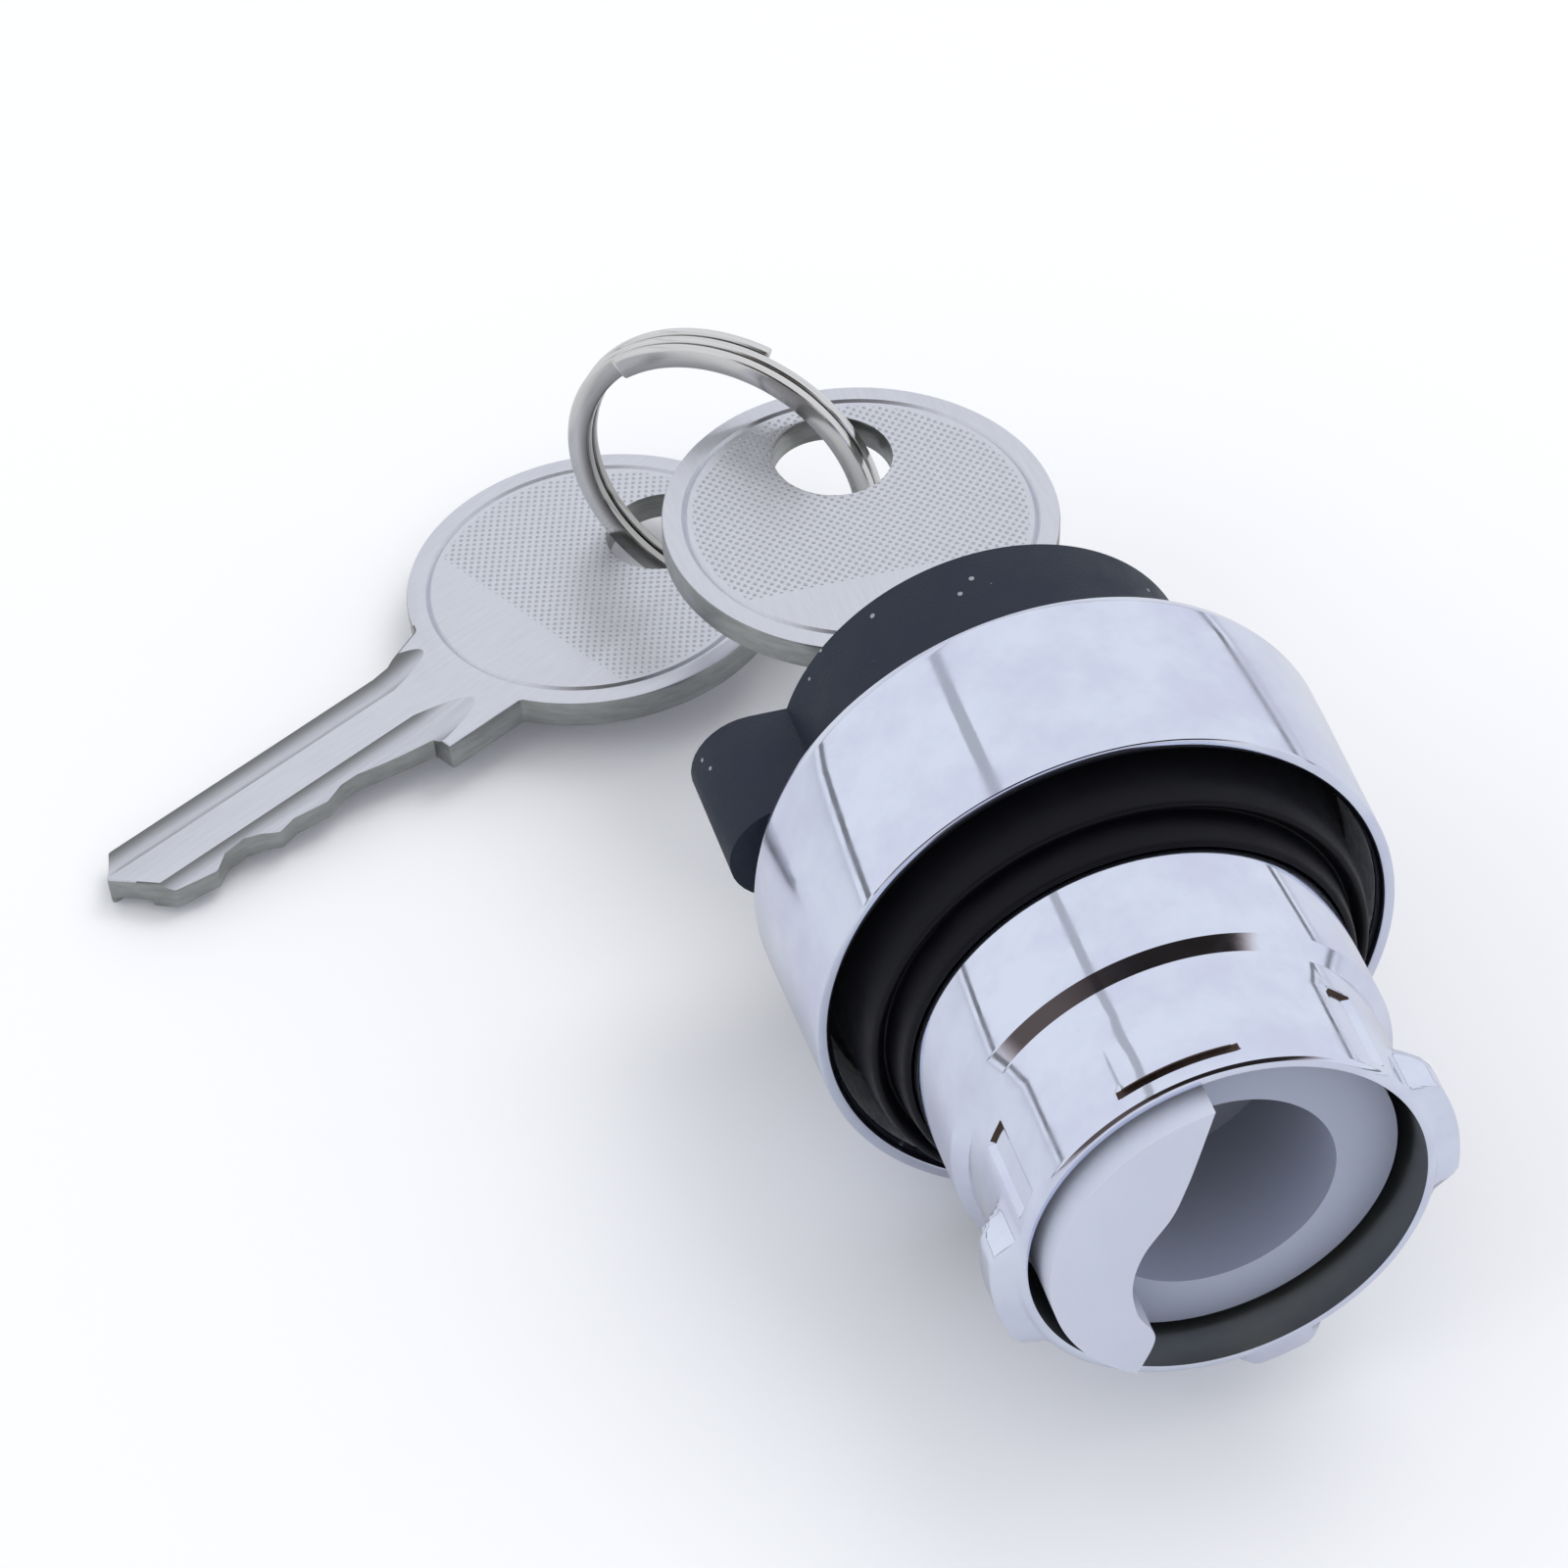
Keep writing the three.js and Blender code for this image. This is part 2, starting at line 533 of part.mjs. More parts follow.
function makeClip() {
  const [inner, outer, front, rear] = CLIP_WIRE;
  const ring = tube(PLUG_R + inner, PLUG_R + outer, PLUG_CLIP_Y + front, PLUG_CLIP_Y + rear, 32);
  return ring.subtract(block([-CLIP_OPENING_HALF, CLIP_OPENING_HALF], [0, 3], [0, STATOR_R]));
}

const rotor = new THREE.Group();
model.add(rotor);
add('cap_knob', makeCap(), blackPlastic, rotor);
add('pointer_mark', makePointerMark(), whiteInk, rotor);
add('lock_face_plate', makeFacePlate(), chrome, rotor);
add('lock_plug', makePlug(), brass, rotor);
add('plug_clip', makeClip(), springSteel, rotor);
add('cam_rotor', makeCamRotor(), nylon, rotor);
add('rotor_screw', makeScrew(), springSteel, rotor);

for (let i = 0; i < WAFER_COUNT; i += 1) {
  add(`wafer_${i + 1}`, makeWafer(i), brass, rotor);
  const length = WAFER_SPRING_X[1] - WAFER_SPRING_X[0];
  const waferCoil = spring({ ...WAFER_SPRING, length });
  const waferSpring = add(`wafer_spring_${i + 1}`, waferCoil, springSteel, rotor);
  waferSpring.rotation.y = Math.PI / 2;
  waferSpring.position.set((WAFER_SPRING_X[0] + WAFER_SPRING_X[1]) / 2, waferY(i), WAFER_SPRING_Z);
}

BALL_ANGLES.forEach((angle, i) => {
  add(`detent_ball_${i + 1}`, makeBall(angle), springSteel, rotor);
  const arm = new THREE.Group();
  arm.rotation.y = -rad(angle);
  rotor.add(arm);
  const detentSpring = add(`detent_spring_${i + 1}`, spring(DETENT_SPRING), springSteel, arm);
  detentSpring.rotation.y = Math.PI / 2;
  detentSpring.position.set(DETENT_SPRING.centre, BALL_Y, 0);
});

// Flap that closes the keyway, folded back beside the blade while the key is in.
const flapX = [KEYWAY_X[0] + 0.4, KEYWAY_X[1] - 1.1];
const flapY = SHUTTER_Y.map((y) => PLUG_FRONT_Y + y);
add('dust_shutter', block(flapX, flapY, SHUTTER_Z), springSteel, rotor);
const shutterSpring = add('shutter_spring', spring(SHUTTER_SPRING), springSteel, rotor);
const [springX, springY, springZ] = SHUTTER_SPRING_AT;
shutterSpring.rotation.y = Math.PI / 2;
shutterSpring.position.set(springX, PLUG_FRONT_Y + springY, springZ);

// ---------- keys ----------
function keyOutline() {
  const outline = new THREE.Shape();
  const [neckBack, neckFront] = KEY_NECK;
  const joint = (b) => Math.sqrt(KEY_BOW_R ** 2 - b ** 2);
  outline.moveTo(joint(neckFront), neckFront);
  outline.absarc(0, 0, KEY_BOW_R, Math.atan2(neckFront, joint(neckFront)),
    Math.atan2(neckBack, joint(neckBack)), false);
  outline.lineTo(KEY_NECK_END, KEY_BACK_EDGE);
  for (const [a, b] of [...KEY_POINT, ...KEY_CUTS]) outline.lineTo(a, b);
  outline.lineTo(KEY_SHOULDER, KEY_STOP);
  outline.lineTo(KEY_SHOULDER, neckFront);
  outline.closePath();
  const hole = new THREE.Path();
  hole.absarc(-KEY_HOLE_BACK, 0, KEY_HOLE_R, 0, 2 * Math.PI, true);
  outline.holes.push(hole);
  return outline;
}

function makeKey() {
  const settings = { depth: KEY_THICK, bevelEnabled: false, curveSegments: 28 };
  const geometry = new THREE.ExtrudeGeometry(keyOutline(), settings);
  let body = solid(geometry.translate(0, 0, -KEY_THICK / 2));
  const face = KEY_THICK / 2;
  const end = KEY_TIP + 1;
  for (const [start, from, to] of KEY_GROOVES_TOP) {
    body = body.subtract(block([start, end], [from, to], [face - KEY_GROOVE_DEPTH, face + 1]));
  }
  const [start, from, to] = KEY_GROOVE_UNDER;
  return body.subtract(block([start, end], [from, to], [-face - 1, -face + KEY_GROOVE_DEPTH]));
}

const lockKey = add('key_in_lock', makeKey(), nickel);
lockKey.rotation.z = Math.PI / 2;
lockKey.position.set(KEY_BOW_X, KEY_BOW_Y, 0);

const ringTurns = new Winding(RING_R - RING_WIRE / 2, RING_PITCH, RING_TURNS, rad(RING_START));
const splitRing = add('split_ring', wound(ringTurns, RING_WIRE, RING_LAYER, RING_STEPS), nickel);
splitRing.rotation.set(0, Math.PI / 2, rad(RING_HEADING), 'ZYX');
splitRing.position.set(...RING_CENTRE);

const spareKey = add('spare_key', makeKey(), nickel);
spareKey.rotation.set(rad(SPARE_ROLL), rad(SPARE_PITCH), rad(SPARE_YAW), 'ZYX');
spareKey.position.set(...SPARE_CENTRE);

export default model;
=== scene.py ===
"""Selector key switch: the fine surfaces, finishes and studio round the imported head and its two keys.

Lengths in the tables are millimetres and are turned into metres by mm(). The switch axis is Y, the key
side faces -Y, +Z is up, and the origin lies on the axis in the plane of the bezel's rear rim.
"""

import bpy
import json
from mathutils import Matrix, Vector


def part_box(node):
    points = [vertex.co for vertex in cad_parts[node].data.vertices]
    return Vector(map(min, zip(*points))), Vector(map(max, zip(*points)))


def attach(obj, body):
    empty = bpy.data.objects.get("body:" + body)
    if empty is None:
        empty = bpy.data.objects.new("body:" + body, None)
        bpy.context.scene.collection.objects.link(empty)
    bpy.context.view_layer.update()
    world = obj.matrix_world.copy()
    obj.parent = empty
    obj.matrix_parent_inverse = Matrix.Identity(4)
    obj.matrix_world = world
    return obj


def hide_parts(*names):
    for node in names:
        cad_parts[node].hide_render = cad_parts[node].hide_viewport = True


bl_info = {
    "name": "Selector Key Switch",
    "version": (1, 0, 0),
    "blender": (4, 5, 0),
    "location": "View3D > Sidebar > Key Switch",
    "description": "Models the visible pieces of a panel key switch round its packed frame",
    "category": "Object",
}

import json
import math

import bmesh
import bpy
from bpy.props import FloatProperty, FloatVectorProperty, IntProperty, PointerProperty
from mathutils import Euler, Matrix, Vector

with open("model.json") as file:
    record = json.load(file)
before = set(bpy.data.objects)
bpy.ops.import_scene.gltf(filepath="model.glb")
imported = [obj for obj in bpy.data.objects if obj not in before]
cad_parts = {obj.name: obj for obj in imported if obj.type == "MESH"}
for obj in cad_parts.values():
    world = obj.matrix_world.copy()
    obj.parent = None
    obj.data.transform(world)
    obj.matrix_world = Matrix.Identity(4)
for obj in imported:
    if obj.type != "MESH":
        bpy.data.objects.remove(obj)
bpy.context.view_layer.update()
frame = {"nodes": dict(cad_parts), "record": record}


def mm(length):
    return length / 1000


# ---------- sizes, millimetres ----------
BEZEL_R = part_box("bezel")[1].x * 1000
BEZEL_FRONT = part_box("bezel")[0].y * 1000
BEZEL_REAR_R = BEZEL_R - 0.16
BEZEL_BORE_R = 13.5
BEZEL_OPENING_R = 8.0
BEZEL_FACE_WALL = 1.1
BEZEL_HUB_REAR = BEZEL_FRONT + BEZEL_FACE_WALL + 2.9

SLEEVE_R = 10.75
SLEEVE_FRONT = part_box("body_sleeve")[0].y * 1000
SLEEVE_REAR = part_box("body_sleeve")[1].y * 1000
TAIL_R = 10.1
TAIL_START = 9.65
WAIST = 9.0
SLEEVE_BORE_R = 9.25
REAR_BORE_R = 9.55
REAR_BORE_START = 11.5
LUG_R = 11.25
LUGS = ((-13, 44), (167, 44), (-108, 27))  # middle and span in degrees from +X towards +Z
LUG_START = 13.5
LUG_END = 16.3
# Degrees off the span, and shares of the slope and of the height.
LUG_STEPS = ((12, 1, 1), (8, 0.72, 0.84), (4, 0.42, 0.5), (0, 0.16, 0.14))
BALL_TRACK = (4.0, 6.6)
BALL_TRACK_R = SLEEVE_BORE_R + 0.4
WASHER_SHELF = (1.0, 2.0)
WASHER_SHELF_R = 7.65
PAD_ANGLE = 76
PAD_SPAN = 32
PAD_START = 12.2
PAD_DEPTH = 0.07
PAD_SLOT = (15.15, 15.5, 15.6)  # where the slot at the pad's rear starts, bottoms out and ends
PAD_SLOT_DEPTH = 0.42
GROOVE_OFFSET = 56
GROOVE_SPAN = 8
GROOVE_START = 11.2
GROOVE_END = 15.8
GROOVE_DEPTH = 0.3
PRESS_WALL = 0.12  # run of the steep wall round a pressed pocket

SAME_PLACE = 0.002  # corners nearer than this are merged

GASKET_BORE = 10.82
GASKET_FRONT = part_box("panel_gasket")[0].y * 1000

CAP_R = 10.55
CAP_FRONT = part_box("cap_knob")[0].y * 1000
CAP_REAR = -10.8
CAP_SPIGOT_R = 7.3
CAP_SPIGOT_REAR = -8.9
CAP_BORE_R = 6.3
CAP_RECESS_Y = -17.8
NUB_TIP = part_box("cap_knob")[1].x * 1000
NUB_HALF_ANGLE = 16
NUB_REAR = -12.0

PLATE_R = 7.0
KEYWAY_X = (-1.75, 4.95)
KEYWAY_HALF = 1.1

ROTOR_R = 8.93
ROTOR_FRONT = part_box("cam_rotor")[0].y * 1000
ROTOR_REAR = 14.3
ROTOR_BORE_R = 5.82
ROTOR_FLOOR = 6.9
ROTOR_DISH = 0.4
LOBE_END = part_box("cam_rotor")[1].y * 1000
LOBE_ARC = (-60, 80)
LOBE_INNER = ((2.2, 6.0), (2.7, 4.1), (3.3, 2.4), (4.5, 0.4), (4.95, -1.6), (4.6, -3.7), (3.7, -5.5))

KEY_BOW_R = 10.1
KEY_THICK = 1.6
KEY_HOLE_R = 3.05
KEY_HOLE_BACK = 4.84
KEY_NECK = (-3.9, 4.5)
KEY_NECK_END = 12.0
KEY_BACK = -2.95
KEY_TIP = 32.1
KEY_SHOULDER = 13.9
KEY_STOP = 3.1
KEY_CUTS = (
    (27.6, 2.3), (26.6, 1.7), (25.3, 1.6), (24.4, 1.9), (23.6, 2.45), (22.5, 2.2), (20.5, 2.5), (19.3, 2.1),
    (18.2, 2.1), (16.6, 2.5), (14.6, 2.95),
)
KEY_GROOVE = 0.4  # depth of the groove in the underside
KEY_GROOVE_START = 12.4
KEY_GROOVE_HALF = 0.9
KEY_GROOVE_SLOPE = 0.3
HOLLOW_R = 2.2
HOLLOW_DEPTH = 0.45
HOLLOW_RUN_OUT = 3.0
HOLLOWS = ((13.0, -2.43), (13.6, 2.53))  # where each is at full depth, and its middle across the blade
KEY_RIM_LINE_R = 8.95
KEY_UV_UNIT = 10  # one UV unit is 10 mm of the key's face
# In those units: where the field of dots fades out, and where the painted shade along the hollows' edges does.
DOTS_RIM = (0.845, 0.86)
DOTS_END = (0.44, 0.455)
PAINTED_SHADE_BACK = (-0.30, -0.17)
PAINTED_SHADE_FOOT = (0.11, 0.20)
LAND_MIDDLE = 0.02

LOCK_KEY_TURN = (0, 0, 90)  # degrees
LOCK_KEY_AT = (1.7, -33.4, 0)
SPARE_KEY_TURN = (4.8, 3.56, 25.5)
SPARE_KEY_AT = (12.54, -45.18, -11.37)

RING_R = 8.9
RING_WIRE = 1.25
RING_LAYER = 0.58
RING_PITCH = 0.7
RING_TURNS = 2.16
RING_START = 165  # degrees
RING_TURN = (0, 90, 50.5)
RING_AT = (5.68, -44.27, -4.56)

FLOOR_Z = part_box("bezel")[0].z * 1000
CAMERA_TARGET = (10.80, -16.88, -0.40)

# ---------- fixed colours and the tent ----------
DUST = (0.30, 0.31, 0.33)
WORN_EDGE = (0.35, 0.36, 0.355)
# Painted shade: the dark brown plate in the pad's slot and on the grooves' end walls.
PAINTED_RECESS_SHADE = (0.075, 0.052, 0.044)
# Painted reflection: the floor shows this much darker only in glossy rays.
MIRRORED_FLOOR = 0.78  # share of the floor's brightness that bright plate mirrors
# Bearing round the switch axis, half width in degrees and darkness of each seam of the tent.
TENT_SEAMS = ((3, 1.6, 0.75), (61.9, 2.6, 0.42), (176.9, 1.6, 0.75))
TENT_TINT = (0.94, 0.96, 1.0)
# The dark opening of the tent, wide and low on the panel side: its middle and spans.
OPENING_BEARING = 78
OPENING_SPAN = (62, 82)
OPENING_LEAN = 0.66
OPENING_HEIGHT = (0.18, 0.25)
OPENING_NUB_SIDE = 35
OPENING_DARK = (0.13, 0.02)  # brightness at its nub side and beyond its middle
OPENING_TINT = (1.0, 0.79, 0.73)


# ---------- settings ----------
def metres(name, description, default, least, most):
    return FloatProperty(
        name=name, description=description, default=default, min=least, max=most, unit="LENGTH", precision=5
    )


def colour(name, description, default):
    return FloatVectorProperty(
        name=name, description=description, subtype="COLOR", size=3, min=0, max=1, default=default
    )


class KeySwitchSizes(bpy.types.PropertyGroup):
    """Sizes of the finer shapes that the frame leaves to the eye."""

    facets: IntProperty(
        name="Facets", description="Facets round the large turned pieces", default=180, min=60, max=360
    )
    metal_edge: metres("Metal edge", "Radius on the plated metal's edges", 0.00016, 0.00002, 0.0005)
    plastic_edge: metres("Plastic edge", "Radius on the moulded pieces' edges", 0.0003, 0.00005, 0.0008)
    lug_slope: metres("Lug slope", "Width of the sloped front of a bayonet lug", 0.0012, 0.0004, 0.0015)
    ring_edge: metres("Ring wire edge", "Radius on the split ring's flat wire", 0.00017, 0.00002, 0.00025)
    dimple_pitch: metres("Dimple pitch", "Spacing of the stamped dots on a bow", 0.000375, 0.0002, 0.001)


class KeySwitchFinishes(bpy.types.PropertyGroup):
    """Colours of the finishes."""

    chrome: colour("Chrome", "Bright plate on the bezel and sleeve", (0.77, 0.82, 0.945))
    cast: colour("Bare casting", "Unpolished plate inside the bezel", (0.78, 0.82, 0.90))
    bore: colour("Sleeve bore", "Dull dark plate inside the sleeve", (0.215, 0.22, 0.212))
    black: colour("Cap", "Matt moulding of the pointer cap", (0.014, 0.0195, 0.034))
    rubber: colour("Gasket", "Panel gasket and seal", (0.0035, 0.0035, 0.006))
    nylon: colour("Rotor", "White moulding of the cam rotor", (0.58, 0.61, 0.72))
    nickel: colour("Keys", "Dull plate on the keys", (0.70, 0.71, 0.765))
    ring: colour("Split ring", "Plated spring wire", (0.75, 0.745, 0.73))
    brass: colour("Lock", "Brass of the plug, wafers and stator", (0.72, 0.53, 0.25))
    steel: colour("Springs", "Spring steel", (0.46, 0.46, 0.46))
    ink: colour("Pointer line", "Inlaid line on the nub", (0.84, 0.84, 0.82))


class KeySwitchStudio(bpy.types.PropertyGroup):
    """The studio round the switch."""

    distance: metres("Camera distance", "From the middle of the view to the camera", 0.290, 0.1, 2)
    azimuth: FloatProperty(
        name="Camera azimuth", description="Heading of the camera round the switch",
        default=math.radians(163.08), subtype="ANGLE",
    )
    elevation: FloatProperty(
        name="Camera elevation", description="Height of the camera above the horizon",
        default=math.radians(43.765), subtype="ANGLE",
    )
    lens: FloatProperty(
        name="Focal length", description="Focal length of the camera", default=137.14,
        min=20, max=300, unit="CAMERA",
    )
    dome: FloatProperty(
        name="Dome strength", description="Brightness of the surrounding tent", default=0.90, min=0, max=3
    )
    floor: colour("Floor", "Plain pale floor", (0.93, 0.93, 0.94))


# ---------- modelling helpers ----------
def spot(*lengths):
    """A place given in millimetres."""
    return Vector([mm(length) for length in lengths])


def deselect():
    if bpy.context.object and bpy.context.object.mode != "OBJECT":
        bpy.ops.object.mode_set(mode="OBJECT")
    bpy.ops.object.select_all(action="DESELECT")


def only(piece):
    deselect()
    piece.select_set(True)
    bpy.context.view_layer.objects.active = piece


def edit(piece):
    only(piece)
    bpy.ops.object.mode_set(mode="EDIT")


def leave_edit():
    bpy.ops.object.mode_set(mode="OBJECT")


def select_all():
    bpy.ops.mesh.select_all(action="SELECT")


def resize(factors, centre=(0, 0, 0)):
    bpy.ops.transform.resize(value=factors, center_override=centre)


def extrude(along):
    bpy.ops.mesh.extrude_region_move(TRANSFORM_OT_translate={"value": along})


def pick(piece, kind, test):
    """In edit mode, selects the vertices or faces that pass the test."""
    bpy.ops.mesh.select_mode(type=kind)
    bpy.ops.mesh.select_all(action="DESELECT")
    mesh = bmesh.from_edit_mesh(piece.data)
    for element in mesh.verts if kind == "VERT" else mesh.faces:
        element.select_set(test(element))
    bmesh.update_edit_mesh(piece.data)


def face_outwards():
    """Turns all the faces of a closed solid outwards and leaves edit mode."""
    select_all()
    bpy.ops.mesh.normals_make_consistent(inside=False)
    leave_edit()


def apply_place(name):
    """Names a new primitive and applies its place, turn and scale."""
    piece = bpy.context.object
    piece.name = piece.data.name = name
    bpy.ops.object.transform_apply(location=True, rotation=True, scale=True)
    return piece


def trace(name, points):
    """Draws an outline from vertex to vertex, in edit mode, and leaves its first and last unjoined."""
    deselect()
    bpy.ops.mesh.primitive_plane_add(size=mm(1))
    piece = bpy.context.object
    piece.name = piece.data.name = name
    bpy.ops.object.mode_set(mode="EDIT")
    bpy.ops.mesh.select_mode(type="VERT")
    select_all()
    bpy.ops.mesh.merge(type="CENTER")
    bpy.ops.transform.translate(value=points[0])
    for before, after in zip(points, points[1:]):
        bpy.ops.mesh.extrude_vertices_move(TRANSFORM_OT_translate={"value": after - before})
    return piece


def close_outline(piece, filled):
    """Joins an outline's two ends, and fills it if asked."""
    if filled:
        select_all()
    else:
        pick(piece, "VERT", lambda vertex: len(vertex.link_edges) < 2)
    bpy.ops.mesh.edge_face_add()
    select_all()


def turn(name, outline, facets, closed=True):
    """A solid of revolution about the switch axis from (radius, y) corners, left in object mode."""
    piece = trace(name, [spot(r, y, 0) for r, y in outline])
    if closed:
        close_outline(piece, filled=False)
    select_all()
    bpy.ops.mesh.spin(steps=facets, angle=2 * math.pi, center=(0, 0, 0), axis=(0, 1, 0))
    select_all()
    bpy.ops.mesh.remove_doubles(threshold=mm(SAME_PLACE))
    face_outwards()
    return piece


def slab(name, outline, along):
    """A flat outline, filled and carried along a vector, left in object mode."""
    piece = trace(name, outline)
    close_outline(piece, filled=True)
    extrude(along)
    face_outwards()
    return piece


def brick(name, low, high):
    """A box between two corners, in millimetres."""
    deselect()
    low, high = spot(*low), spot(*high)
    bpy.ops.mesh.primitive_cube_add(size=1, location=(low + high) / 2, scale=high - low)
    return apply_place(name)


def apply_modifier(piece, kind, **values):
    only(piece)
    modifier = piece.modifiers.new(kind.lower(), kind)
    for key, value in values.items():
        setattr(modifier, key, value)
    bpy.ops.object.modifier_apply(modifier=modifier.name)


def combine(piece, other, operation="DIFFERENCE"):
    """Joins or cuts with another solid, which is used up."""
    apply_modifier(piece, "BOOLEAN", operation=operation, object=other, solver="EXACT")
    bpy.data.meshes.remove(other.data)


def round_edges(piece, width, segments=3, angle=28):
    apply_modifier(
        piece, "BEVEL", width=width, segments=segments, limit_method="ANGLE",
        angle_limit=math.radians(angle), use_clamp_overlap=True, miter_outer="MITER_ARC",
    )


def smooth(piece, angle=28):
    only(piece)
    bpy.ops.object.shade_smooth_by_angle(angle=math.radians(angle))


def move_mesh(piece, turned, to):
    """Turns a piece's mesh by degrees and moves it by millimetres."""
    rotation = Euler([math.radians(angle) for angle in turned]).to_matrix().to_4x4()
    piece.data.transform(Matrix.Translation(spot(*to)) @ rotation)


def fasten(piece, node, body, slot, *finishes):
    """Gives a piece its finishes and its place in the frame, instead of the CAD node."""
    piece.data.materials.clear()
    for finish in finishes:
        piece.data.materials.append(bpy.data.materials[finish])
    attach(piece, body)
    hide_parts(node)


def within(middle, at, span):
    """Whether a place lies in a span of degrees round the switch axis, from +X towards +Z."""
    bearing = math.degrees(math.atan2(middle.z, middle.x))
    return abs((bearing - at + 180) % 360 - 180) < span / 2


def arc(radius, start, end, steps):
    """Points (a, b) on an arc, in degrees."""
    angles = [math.radians(start + (end - start) * i / steps) for i in range(steps + 1)]
    return [(radius * math.cos(a), radius * math.sin(a)) for a in angles]


def catmull(p0, p1, p2, p3, t):
    """A point between p1 and p2 on the curve through four points."""
    return 0.5 * (
        2 * p1 + (p2 - p0) * t + (2 * p0 - 5 * p1 + 4 * p2 - p3) * t ** 2
        + (3 * p1 - p0 - 3 * p2 + p3) * t ** 3
    )


# ---------- shader groups ----------
def new_group(name, outputs, **inputs):
    """A shader group that takes a Vector and the inputs given, and puts out numbers."""
    group = bpy.data.node_groups.new(name, "ShaderNodeTree")
    for label, default in {"Vector": (0, 0, 0), **inputs}.items():
        kind = "NodeSocketVector" if isinstance(default, tuple) else "NodeSocketFloat"
        socket = group.interface.new_socket(name=label.replace("_", " "), in_out="INPUT", socket_type=kind)
        socket.default_value = default
    for label in outputs:
        group.interface.new_socket(name=label, in_out="OUTPUT", socket_type="NodeSocketFloat")
    return group, group.nodes.new("NodeGroupInput").outputs, group.nodes.new("NodeGroupOutput").inputs


def connect(tree, value, socket):
    """Links a socket to another, or sets the other to a number or a colour."""
    if isinstance(value, bpy.types.NodeSocket):
        tree.links.new(value, socket)
    else:
        socket.default_value = (*value, 1) if socket.type == "RGBA" else value


def calc(tree, operation, first, second=None, clamp=False):
    """A Math node whose inputs are sockets or numbers. Returns its output."""
    node = tree.nodes.new("ShaderNodeMath")
    node.operation = operation
    node.use_clamp = clamp
    for socket, value in zip(node.inputs, (first, second)):
        if value is not None:
            connect(tree, value, socket)
    return node.outputs[0]


def remap(tree, value, from_low, from_high, to_low=0, to_high=1, smoothly=True):
    node = tree.nodes.new("ShaderNodeMapRange")
    node.interpolation_type = "SMOOTHSTEP" if smoothly else "LINEAR"
    names = ("Value", "From Min", "From Max", "To Min", "To Max")
    for name, number in zip(names, (value, from_low, from_high, to_low, to_high)):
        connect(tree, number, node.inputs[name])
    return node.outputs["Result"]


def away(tree, value, middle, near, far, at_middle=1, outside=0):
    """One level round a middle value and another away from it."""
    off = calc(tree, "ABSOLUTE", calc(tree, "SUBTRACT", value, middle))
    return remap(tree, off, near, far, at_middle, outside)


def noise(tree, vector, scale, detail=2, roughness=0.5):
    node = tree.nodes.new("ShaderNodeTexNoise")
    for name, value in (("Vector", vector), ("Scale", scale), ("Detail", detail), ("Roughness", roughness)):
        connect(tree, value, node.inputs[name])
    return node.outputs["Fac"]


def split(tree, vector):
    node = tree.nodes.new("ShaderNodeSeparateXYZ")
    tree.links.new(vector, node.inputs[0])
    return node.outputs


def length_of(tree, first, second):
    """The length of a vector from its two parts."""
    squares = [calc(tree, "POWER", part, 2) for part in (first, second)]
    return calc(tree, "SQRT", calc(tree, "ADD", *squares))


def mix(tree, mask, first, second):
    """A colour between two, each a colour or a socket."""
    node = tree.nodes.new("ShaderNodeMix")
    node.data_type = "RGBA"
    tree.links.new(mask, node.inputs["Factor"])
    connect(tree, first, node.inputs[6])
    connect(tree, second, node.inputs[7])
    return node.outputs[2]


def haze_group():
    """Cloudy unevenness of a polished or moulded surface, as a roughness and a mask."""
    group, into, out = new_group("Surface Haze", ("Roughness", "Mask"), Scale=200, Low=0.05, High=0.15)
    mask = remap(group, noise(group, into["Vector"], into["Scale"], 4, 0.6), 0.35, 0.68)
    rough = remap(group, mask, 0, 1, into["Low"], into["High"], smoothly=False)
    group.links.new(rough, out["Roughness"])
    group.links.new(mask, out["Mask"])


def grain_group():
    """Fine moulded or cast grain over a slow waviness, as a height."""
    group, into, out = new_group("Fine Grain", ("Height",), Grain_Scale=6000, Wave_Scale=150, Wave_Share=0.3)
    fine = noise(group, into["Vector"], into["Grain Scale"])
    slow = noise(group, into["Vector"], into["Wave Scale"], 1)
    waves = calc(group, "MULTIPLY", slow, into["Wave Share"])
    group.links.new(calc(group, "ADD", fine, waves), out["Height"])


def dust_group():
    """Sparse pale specks, as a mask."""
    group, into, out = new_group("Dust Specks", ("Mask",), Scale=900, Size=0.1, Rarity=0.93)
    cells = group.nodes.new("ShaderNodeTexVoronoi")
    cells.inputs["Randomness"].default_value = 1
    group.links.new(into["Vector"], cells.inputs["Vector"])
    group.links.new(into["Scale"], cells.inputs["Scale"])
    chance = group.nodes.new("ShaderNodeSeparateColor")
    group.links.new(cells.outputs["Color"], chance.inputs["Color"])
    smaller = calc(group, "MULTIPLY", chance.outputs["Green"], into["Size"])
    near = calc(group, "LESS_THAN", cells.outputs["Distance"], smaller)
    chosen = calc(group, "GREATER_THAN", chance.outputs["Red"], into["Rarity"])
    group.links.new(calc(group, "MULTIPLY", near, chosen), out["Mask"])


def scratch_group():
    """Fine hairlines drawn out along one direction, as a mask."""
    group, into, out = new_group("Hairlines", ("Mask",), Scale=1, Stretch=(200, 4000, 4000))
    stretched = group.nodes.new("ShaderNodeVectorMath")
    stretched.operation = "MULTIPLY"
    group.links.new(into["Vector"], stretched.inputs[0])
    group.links.new(into["Stretch"], stretched.inputs[1])
    lines = noise(group, stretched.outputs[0], into["Scale"], 3, 0.7)
    group.links.new(remap(group, lines, 0.3, 0.7), out["Mask"])


